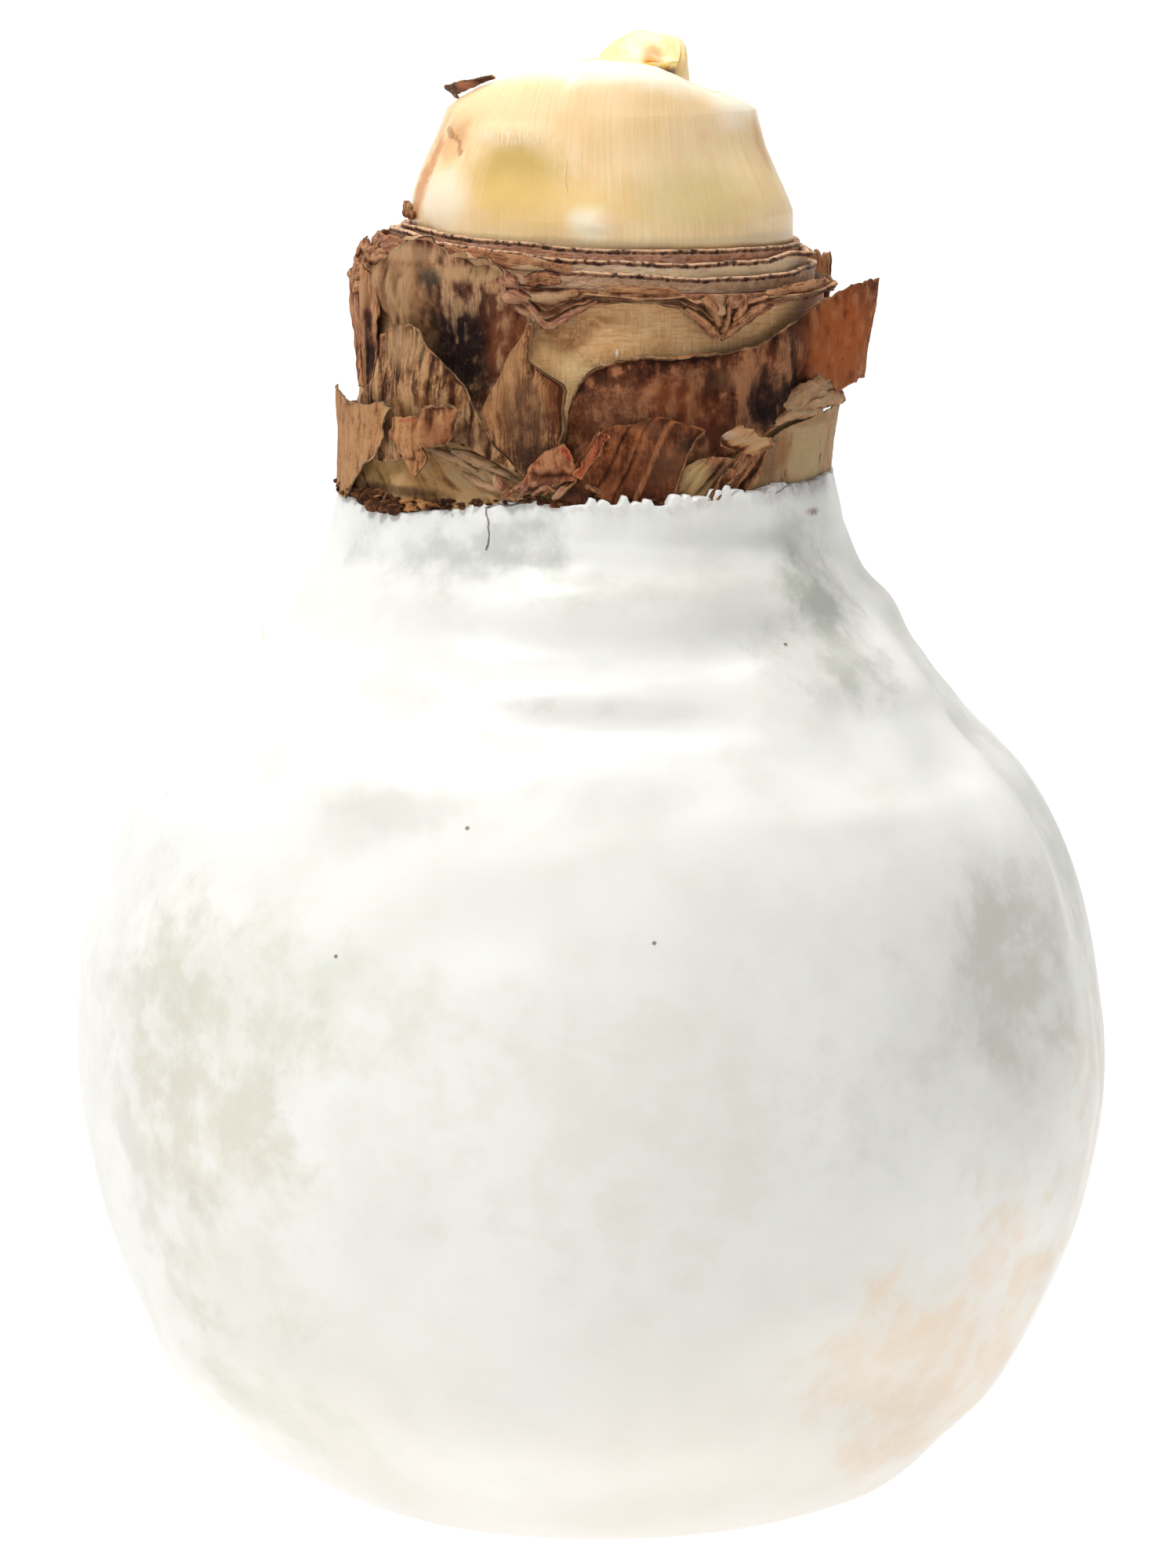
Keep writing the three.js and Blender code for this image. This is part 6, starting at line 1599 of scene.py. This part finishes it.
         torn=("right",), cell=0.26, rolls=[("right", 0.32, 110, 0, 1)], rough=(0.2, 0.2, 0.1, 0.3),
         tones=[(0.44, 0.3, 0.18), (0.72, 0.58, 0.39), (0.84, 0.74, 0.54)], edge=(0.5, 0.31, 0.17),
         stainsAndPaintedLight=[(62, 114, 4, 2.8, (0.74, 0.645, 0.4), 0.9), (45, 114, 2.6, 3, (0.24, 0.13, 0.065), 0.8),
         (52, 114.8, 1.2, 2.2, (0.34, 0.155, 0.06), 0.75), (75, 114.5, 1, 3, (0.52, 0.28, 0.17), 0.6),
         (60, 117.4, 8, 0.7, (0.38, 0.22, 0.11), 0.6)], fibre=0.8, streaks=0.55, mottle=0.4, redness=0.1),
]


def makeSkins():
    for sheet in skinSheets:
        keys = ("edge", "stainsAndPaintedLight", "stripes", "redness", "fibre", "streaks", "mottle", "paleCurl")
        paper = dryPaper(sheet["name"] + "Paper", sheet["tones"], **{k: sheet[k] for k in keys if k in sheet})
        rim = redRim if sheet.get("rim") == "red" else paleRim
        makeSheet(sheet, [paper, rim], sheet["slot"], nodeOf(sheet["name"]))


makeSkins()
print("front skins")


# Behind, the same kinds of skin go on round the neck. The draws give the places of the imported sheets.
def makeBackSkins():
    between = drawsFrom(41)
    papers = {
        "brown": dryPaper("backBrownPaper", brownTones, streaks=0.7, mottle=0.6),
        "tan": dryPaper("backTanPaper", [(0.22, 0.115, 0.06), (0.5, 0.32, 0.175), (0.7, 0.52, 0.32)], stripes=0.2,
                        mottle=0.5),
        "red": dryPaper("backRedPaper", redTones, edge=(0.46, 0.25, 0.13)),
    }
    sheets = []
    for i in range(8):
        at = 118 + i * 17.4 + between(-2, 2)
        half, lean, top = between(13, 18), between(-7, 7), between(117, 122.5)
        level = 1 + i % 3
        lift = (0.1, 0.5, 1.1)[level - 1]
        waist = (110 + top) / 2
        sheets.append({
            "name": "backFlap" + str(i + 1), "level": level,
            "first": [(at - half, 110, 0), (at - 0.9 * half + lean / 2, waist, lift / 2),
                      (at - 0.5 * half + lean, top - 0.8, lift)],
            "second": [(at + half, 110, 0), (at + 0.8 * half + lean / 2, waist, lift / 2),
                       (at + 0.35 * half + lean, top + 0.8, 1.5 * lift)],
            "rough": (0.38, 0.35, 0.16, 0.4), "seed": 30 + i, "foot": "start",
            "paper": ("brown", "tan", "brown", "red")[i % 4],
            "rolls": [("top", 0.45, 120, 0.1, 0.9)] if i % 2 else [("right", 0.4, 120, 0.2, 0.9)],
        })
    for i in range(4):
        at = 120 + i * 40
        half, foot = between(15, 18), between(123.8, 125)
        sheets.append({
            "name": "backSkin" + str(i + 1),
            "first": [(at - 0.5 * half, foot, 0.1), (at - half, 127.5, 0.4), (at - half, 129.7, 1.0),
                      (at - 0.9 * half, 133.4, 1.1)],
            "second": [(at + 0.6 * half, foot + 0.8, 0.1), (at + half, 127.5, 0.4), (at + half, 129.7, 1.0),
                       (at + 0.8 * half, 133.4, 1.2)],
            "rough": (0.5, 0.35, 0.16, 0.4), "seed": 40 + i, "paper": ("tan", "brown")[i % 2],
            "torn": ("left", "right", "top", "bottom"),
            "rolls": [("top", 0.4, 140, 0.05, 0.95)],
        })
    for sheet in sheets:
        makeSheet({**sheet, "cell": 0.42}, [papers[sheet["paper"]], paleRim], sheet["paper"] + "_skin",
                  nodeOf(sheet["name"]))


makeBackSkins()
print("back skins")


backWraps = [
    {"name": "backWrap1", "first": [(118, 112.5, 0), (122, 118, 0.1), (119, 123.5, 0.2), (126, 129, 0.3)],
     "second": [(147, 112.5, 0), (141, 117, 0.1), (143, 123, 0.2), (139, 128.6, 0.3)], "tone": "tan", "seed": 61,
     "rolls": [("right", 0.35, 120, 0.1, 0.9)]},
    {"name": "backWrap2", "first": [(176, 112.5, 0), (170, 118, 0.1), (177, 124, 0.2), (174, 128.8, 0.3)],
     "second": [(199, 112.5, 0), (207, 119, 0.1), (199, 124, 0.2), (203, 129.4, 0.3)], "tone": "brown", "seed": 62,
     "rolls": [("left", 0.35, 120, 0.1, 0.9)]},
    {"name": "backWrap3", "first": [(226, 112.5, 0), (231, 117, 0.1), (226, 122, 0.2), (236, 128.6, 0.3)],
     "second": [(250, 112.5, 0), (252, 119, 0.1), (262, 124, 0.2), (256, 129.2, 0.3)], "tone": "red", "seed": 63,
     "rolls": [("left", 0.35, 120, 0.1, 0.9)]},
]


def makeBackWraps():
    tones = {"brown": brownTones, "tan": tanTones, "red": redTones}
    for sheet in backWraps:
        paper = dryPaper(sheet["name"] + "Paper", tones[sheet["tone"]], stripes=0.3)
        shape = {"rough": (0.4, 0.4, 0.14, 0.35), "cell": 0.42, "byLength": True}
        makeSheet({**sheet, **shape}, [paper, paleRim], sheet["tone"] + "_skin")


makeBackWraps()
print("long skins behind")


# A dried sliver of skin curls off the left end of the stump's cut.
sliverPart = {"seed": 19, "left": -122, "right": -58, "long": 16, "wide": 1.2}


def makeStumpSliver():
    u, v = np.meshgrid(np.linspace(0, 1, 9), np.linspace(0, 1, 90))
    seed, long, wide = (sliverPart[key] for key in ("seed", "long", "wide"))
    curl = 0.9 * u * (1 - v) + 1.8 * (1 - v) ** 3
    angle = lerp(sliverPart["left"], sliverPart["right"], v)
    narrow = 1 - 0.55 * smoothStep(v, 0.55, 1)
    height = crestAt(angle) - lerp(0.5, 0.35, v) + 0.95 * lerp(0.5, u, narrow) + 0.15 * np.sin(3 * v)
    tear = 0.18 * edgeNoise(v * 18, 1.2, seed) * np.abs(2 * u - 1)
    curlOver = 0.45 * smoothStep(u, 0.4, 1) * (1 + 0.6 * edgeNoise(v * 18, 3, seed + 2))
    radius = lerp(17.2, 14.2, v) + curl + 0.3 + curlOver + 0.12 * edgeNoise(v * 18 + u, 1.6, seed + 4)
    points = stumpPoint(angle, radius, height + tear)
    torn = np.minimum(np.minimum(u, 1 - u) * wide, np.minimum(v, 1 - v) * long)
    grain = np.stack([u * wide, v * long, 0 * u + 4.1], -1)
    paper = dryPaper("sliverPaper", [(0.03, 0.015, 0.011), (0.1, 0.05, 0.032), (0.26, 0.15, 0.1)],
                     edge=(0.18, 0.12, 0.07),
                     stainsAndPaintedLight=[(-78, 151.8, 4.0, 0.8, (0.66, 0.36, 0.25), 0.8)])
    masks = {"place": placesOf(np.radians(angle) * arcRadius, height), "grain": grain, "torn": torn}
    thicken(makePiece("stumpSliver", points, gridFaces(89, 8), [paper, paleRim], "brown_skin", masks, "stump_sliver"),
            0.2)


makeStumpSliver()
print("stump sliver")


# Small scraps: each is a ribbon of dry skin along a path of (angle, height, stand-off). It may curl
# into a roll (in radians across) and twist (in degrees along).
def ribbon(path, width, seed, curl, twist, rough=0.14, cell=0.16):
    path = np.array(path, dtype=float)
    line = splineAt(path, np.linspace(0, 1, 60))
    steps = np.linalg.norm(np.diff(neckPoint(line[:, 0], line[:, 2], line[:, 1]), axis=0), axis=1)
    rows = max(6, int(np.ceil(steps.sum() / cell)))
    columns = max(5, int(np.ceil(width / cell)))
    t = np.linspace(0, 1, rows + 1)
    spot = splineAt(path, t)
    centre = neckPoint(spot[:, 0], spot[:, 2] + 0.1, spot[:, 1])
    ahead = np.gradient(centre, axis=0)
    ahead /= np.linalg.norm(ahead, axis=1, keepdims=True)
    out = around(spot[:, 0], 1.0, 0.0)
    side = np.cross(out, ahead)
    side /= np.linalg.norm(side, axis=1, keepdims=True)
    turn = np.radians(twist * (t - 0.5))[:, None]
    across = side * np.cos(turn) + out * np.sin(turn)
    face = out * np.cos(turn) - side * np.sin(turn)
    wide = width * (1 - 0.5 * np.abs(2 * t - 1) ** 2.5) * (1 + 0.3 * edgeNoise(t * steps.sum(), 1.6, seed))
    u = np.linspace(-0.5, 0.5, columns + 1)
    bend = curl * (1 + 0.3 * edgeNoise(t * steps.sum(), 2.4, seed + 1))[:, None] * u[None]
    size = wide[:, None] / curl
    points = centre[:, None] + across[:, None] * (size * np.sin(bend))[..., None]
    points = points - face[:, None] * (size * (1 - np.cos(bend)))[..., None]
    ragged = 0.35 * edgeNoise(np.linspace(0, width, columns + 1), 0.7, seed + 2)
    points = points + ahead[:, None] * (ragged[None] * (np.abs(2 * t - 1) ** 8)[:, None])[..., None]
    points = points + out[:, None] * (rough * roughNoise(points, 0.9, seed + 3, 2))[..., None]
    points = points + across[:, None] * (rough * roughNoise(points, 1.1, seed + 4, 2))[..., None]
    along = t[:, None] * steps.sum() + 0 * u[None]
    sides = np.abs(np.abs(u[None]) - 0.5) * wide[:, None]
    torn = np.minimum(sides, np.minimum(along, steps.sum() - along))
    grain = np.stack([u[None] * wide[:, None], along, np.full(along.shape, seed * 1.7)], -1)
    # ridge: high along the middle of the ribbon, low where it curls, for the paper's painted highlight and shade
    ridge = 1.4 * np.cos(bend * 1.6) - 0.7 + 0.6 * roughNoise(points, 0.5, seed + 5, 2)
    return {"points": points, "torn": torn, "grain": grain, "ridge": np.clip(ridge, -1.2, 1.2)}


# A crumb: a small uneven lump.
def crumb(centre, size, seed):
    up, turn = np.meshgrid(np.linspace(0.08, 0.92, 6) * np.pi, np.linspace(0, 2 * np.pi, 10), indexing="ij")
    ball = np.stack([np.sin(up) * np.cos(turn), np.sin(up) * np.sin(turn), np.cos(up)], -1)
    lumpy = 1 + 0.45 * roughNoise(ball + seed, 0.9, seed, 2)
    points = np.asarray(centre) + ball * np.asarray(size) * lumpy[..., None]
    grain = np.stack([turn * 0.3, up * 0.3, np.full(up.shape, seed * 1.3)], -1)
    # ridge: high on the bumps of the crumb, for the paper's painted highlight and shade
    ridge = np.clip(2.2 * (lumpy - 1) + 0.2, -1, 1)
    return {"points": points, "torn": np.full(up.shape, 3.0), "grain": grain, "ridge": ridge}


def makeScraps(name, scraps, material, slot, thickness=0.18):
    faces, start = [], 0
    for scrap in scraps:
        rows, columns = scrap["points"].shape[:2]
        faces.append(gridFaces(rows - 1, columns - 1, start=start))
        start += rows * columns
    points, grain = (np.concatenate([scrap[key].reshape(-1, 3) for scrap in scraps]) for key in ("points", "grain"))
    torn, ridge = (np.concatenate([scrap[key].reshape(-1) for scrap in scraps]) for key in ("torn", "ridge"))
    arcs = np.arctan2(points[:, 0] - neckMiddle, -points[:, 1]) * arcRadius
    masks = {"place": placesOf(arcs, points[:, 2]), "torn": torn, "grain": grain, "ridge": ridge}
    thicken(makePiece(name, points, np.concatenate(faces), [material, paleRim], slot, masks), thickness)


foldScraps = {
    # under the cut rings and round the deep fold: path, width, curl, twist
    "Brown": [
        ([(-39, 135.7, 1.2), (-30, 135.2, 1.5), (-20, 134.7, 1.6), (-6, 133.9, 1.1)], 1.7, 1.2, 10),
        ([(-16.2, 132.9, 2.1), (-12, 133.1, 2.3), (-8.2, 133, 2)], 4, 5, 10),
        ([(22, 129.8, 0.9), (27, 128, 1.3), (30.4, 126.5, 1.2)], 1.2, 2, 30),
        ([(31, 126.6, 1.1), (36, 128.2, 1.6), (43, 129.8, 1.3)], 1.4, 2.2, -20),
        ([(33.5, 130.8, 1.1), (32.5, 128.8, 1.6), (31, 127.2, 1.3)], 1.2, 3, 40),
        ([(26, 130.9, 1), (29, 129.6, 1.5), (30.5, 128, 1.3)], 1.4, 2.6, -30),
        ([(38, 131, 1), (37, 129.8, 1.5), (34, 128.6, 1.3)], 1.3, 2.6, 30),
        ([(45, 131, 0.9), (58, 131.3, 1.2), (72, 131.6, 0.9)], 1.2, 2, 20),
        ([(2, 131.9, 0.8), (10, 131.8, 1), (20, 131.5, 0.8)], 0.9, 2, 20),
        ([(-3, 131.5, 0.9), (4, 131.2, 1.1), (13, 131.3, 0.8)], 0.8, 2, -15),
    ],
    "Pink": [
        ([(-22.8, 134.3, 1.2), (-21, 132.8, 2.2), (-17.4, 131.9, 1.6)], 2.6, 2.8, 150),
        ([(-22.4, 132, 1.3), (-19.5, 131.2, 2.3), (-15.2, 130.7, 1.5)], 2.3, 2.8, 110),
        ([(-19.4, 130.6, 1), (-16, 130.3, 1.4), (-11.1, 128.2, 1.3), (-5.5, 129.4, 1.3), (0.4, 130.8, 0.9)], 1,
         2.2, 30),
        ([(-21, 131.2, 1.1), (-17.5, 129.9, 1.5), (-14, 128.6, 1.2)], 1, 2.4, 60),
        ([(-24, 135.1, 0.9), (-16, 134.9, 1.4), (-7.6, 134, 1)], 0.9, 1.8, 15),
    ],
    "Pale": [
        ([(-16.2, 131.3, 1.4), (-10, 131.2, 2), (-4.2, 131.6, 1.4)], 1.5, 2.4, 20),
        ([(-23, 134.4, 1.3), (-17, 134.2, 1.6), (-12, 133.9, 1.5)], 0.7, 2, 20),
    ],
}


def ribbonsOf(rows, seed):
    return [ribbon(path, width, seed + 7 * k, curl, twist, *rest) for k,
            (path, width, curl, twist, *rest) in enumerate(rows)]


scrapPapers = {
    name: dryPaper("scrap" + name, tones, edge=edge, fibre=fibre, redness=redness)
    for name, tones, edge, fibre, redness in (
        ("Brown", [(0.06, 0.025, 0.015), (0.25, 0.12, 0.068), (0.52, 0.32, 0.19)], (0.55, 0.36, 0.22), 1.2, 0.35),
        ("Pink", [(0.12, 0.047, 0.036), (0.38, 0.19, 0.135), (0.68, 0.47, 0.34)], (0.7, 0.48, 0.36), 1.2, 0.2),
        ("Pale", [(0.22, 0.115, 0.06), (0.52, 0.34, 0.205), (0.8, 0.64, 0.46)], (0.86, 0.72, 0.55), 1.2, 0.1),
        ("Dark", [(0.008, 0.004, 0.003), (0.04, 0.018, 0.011), (0.17, 0.085, 0.04)], (0.3, 0.16, 0.07), 1.0, 0.2),
        ("Rust", [(0.07, 0.028, 0.012), (0.26, 0.115, 0.045), (0.52, 0.29, 0.12)], (0.6, 0.36, 0.16), 1.0, 0.25))
}
for tone, seed, slot in (("Brown", 301, "brown_skin"), ("Pink", 401, "brown_skin"), ("Pale", 451, "tan_skin")):
    makeScraps("foldScraps" + tone, ribbonsOf(foldScraps[tone], seed), scrapPapers[tone], slot)
print("scraps round the folds")


# Crumpled skin at the left of the rings, the nub over the side band, and fibres over the pale skin.
sideScraps = {
    "leftCount": 26,
    "seed": 77,
    # path, width, curl, twist, roughness
    "nub": [
        ([(52, 118.6, 0.9), (63, 120.4, 2), (78, 119.9, 2.1)], 3.2, 1.6, 20, 0.4),
        ([(58, 119, 1.4), (68, 119.6, 2.8), (80, 118.8, 2.3)], 2.2, 2.6, 50, 0.35),
        ([(48, 117.4, 0.9), (56, 118.4, 1.6), (66, 118.4, 1.8)], 1.8, 2.2, -40, 0.3),
        ([(66, 121, 1.5), (74, 121.2, 2.4), (84, 120.4, 2)], 2, 2.4, 70, 0.35),
    ],
    "fibres": [
        ([(-34, 114.9, 0.7), (-26, 114, 1), (-18, 112.4, 0.8)], 1.3, 2, 20),
        ([(-44, 115.3, 0.6), (-34, 114.3, 0.9), (-27, 113, 0.7)], 0.8, 2, -20),
        ([(-31, 112.8, 0.7), (-25, 111.6, 0.9), (-18.5, 110.9, 0.7)], 0.9, 2, 20),
        ([(-28, 113.8, 0.8), (-21, 113, 1), (-15, 111.8, 0.8)], 0.8, 2.2, 30),
    ],
}


def makeSideScraps():
    between = drawsFrom(sideScraps["seed"])
    left = []
    for k in range(sideScraps["leftCount"]):
        at, up = between(-112, -42), between(130.6, 135.2)
        up = max(up, 134.2) if at > -72 else up  # the hollow skin covers the rest
        stand = 1.7 - 0.32 * max(0, up - 131.6)
        slope, reach = between(-1.3, 1.3), between(3.5, 8)
        path = [(at - reach, up - slope, stand * 0.7), (at, up, stand + between(0.1, 0.5)),
                (at + reach, up + slope, stand * 0.7)]
        left.append(ribbon(path, between(0.9, 2.0), 500 + 7 * k, between(1.6, 3.2), between(-60, 60), 0.25))
    makeScraps("leftScraps", left, scrapPapers["Brown"], "brown_skin")
    makeScraps("sideNub", ribbonsOf(sideScraps["nub"], 611), scrapPapers["Pale"], "tan_skin")
    makeScraps("paleFibres", ribbonsOf(sideScraps["fibres"], 641), scrapPapers["Pale"], "scale_skin")


makeSideScraps()
print("side scraps")


# Dirt and crumbs lie along the wax edge, thick on the left and in the middle, with a little heap of scraps.
rimDirt = {
    "seed": 91,
    # how many crumbs, flakes and scraps
    "left": 105,
    "middle": 70,
    "behind": 60,
    "flakes": 16,
    "heap": 30,
    # larger crumbs at the left: angle, height above the rim, half-width and half-height
    "clods": [(-62, 0.3, 1.1, 0.7), (-58, 0.1, 1.0, 0.8), (-53, 0.2, 1.0, 0.7), (-49.5, 0.1, 0.8, 0.6)],
    # small lumps beside the stump: angle, radius, height, sizes
    "nub": [(-84, 20.4, 138.9, (0.5, 0.7, 0.85)), (-78, 20.4, 138.3, (0.6, 0.8, 0.5)),
            (-90, 20.5, 138.4, (0.6, 0.8, 0.5))],
}


def makeRimDirt():
    between = drawsFrom(rimDirt["seed"])
    dark, flakes, heap = [], [], []
    for k in range(rimDirt["left"]):
        at = between(-88, -33)
        near = hill((at + 56) / 9)
        up = rimAt(at) + between(0.15, 0.9 + 0.6 * near)
        big = between(0.18, 0.42) * (1 + 0.7 * near)
        spot = neckPoint(at, between(0.7, 1.3), up)
        dark.append(crumb(spot, (between(1.2, 2.6) * big, 0.7 * big, between(0.4, 0.9) * big), 700 + k))
    for at, up, wide, high in rimDirt["clods"]:
        dark.append(crumb(neckPoint(at, 1.35, rimAt(at) + up), (wide, 0.7, high), 760 + int(-at)))
    for k in range(rimDirt["middle"]):
        at = between(-34, 20)
        up = rimAt(at) + between(0.0, 0.7)
        big = between(0.12, 0.34)
        spot = neckPoint(at, between(1.2, 1.7), up)
        dark.append(crumb(spot, (between(1.0, 2.6) * big, 0.8 * big, between(0.4, 1.0) * big), 860 + k))
    for k in range(rimDirt["behind"]):
        at = between(104, 256)
        up = rimAt(at) + between(0.2, 1.2)
        big = between(0.2, 0.5)
        spot = neckPoint(at, between(0.9, 1.5), up)
        dark.append(crumb(spot, (1.2 * big, 0.9 * big, 0.8 * big), 960 + k))
    makeScraps("rimCrumbs", dark, scrapPapers["Dark"], "brown_skin", 0.06)
    for k in range(rimDirt["flakes"]):
        at = between(-84, -38)
        up = rimAt(at) + between(0.3, 1.1)
        path = [(at - between(1, 3.5), up + between(-0.3, 0.3), 1.0), (at, up, 1.5),
                (at + between(1, 3.5), up + between(-0.3, 0.3), 1.0)]
        flakes.append(ribbon(path, between(0.3, 0.8), 1100 + 7 * k, between(1.5, 3), between(-60, 60), cell=0.12))
    makeScraps("rimFlakes", flakes, scrapPapers["Rust"], "tan_skin", 0.1)
    for k in range(rimDirt["heap"]):
        at, up = between(-21, 3), between(110.6, 113.6)
        if up > 113.2 - 0.12 * abs(at + 8):
            continue
        lean = math.radians(between(-80, 80))
        reach = between(1.0, 3.2)
        rise = reach * math.sin(lean) * 0.5
        path = [(at - reach, up - rise, 1.5), (at, up, between(1.9, 2.5)), (at + reach, up + rise, 1.5)]
        heap.append(ribbon(path, between(0.5, 1.3), 1300 + 7 * k, between(1.5, 3.4), between(-90, 90), 0.2, 0.13))
    makeScraps("scrapHeap", heap[::2], scrapPapers["Brown"], "brown_skin", 0.12)
    makeScraps("scrapHeapPink", heap[1::2], scrapPapers["Pink"], "brown_skin", 0.12)
    nub = [crumb(around(at, radius, up, 0.2), sizes, 1501 + k) for k,
           (at, radius, up, sizes) in enumerate(rimDirt["nub"])]
    makeScraps("stumpNub", nub, scrapPapers["Brown"], "brown_skin", 0.06)


makeRimDirt()
print("crumbs and scraps on the wax edge")
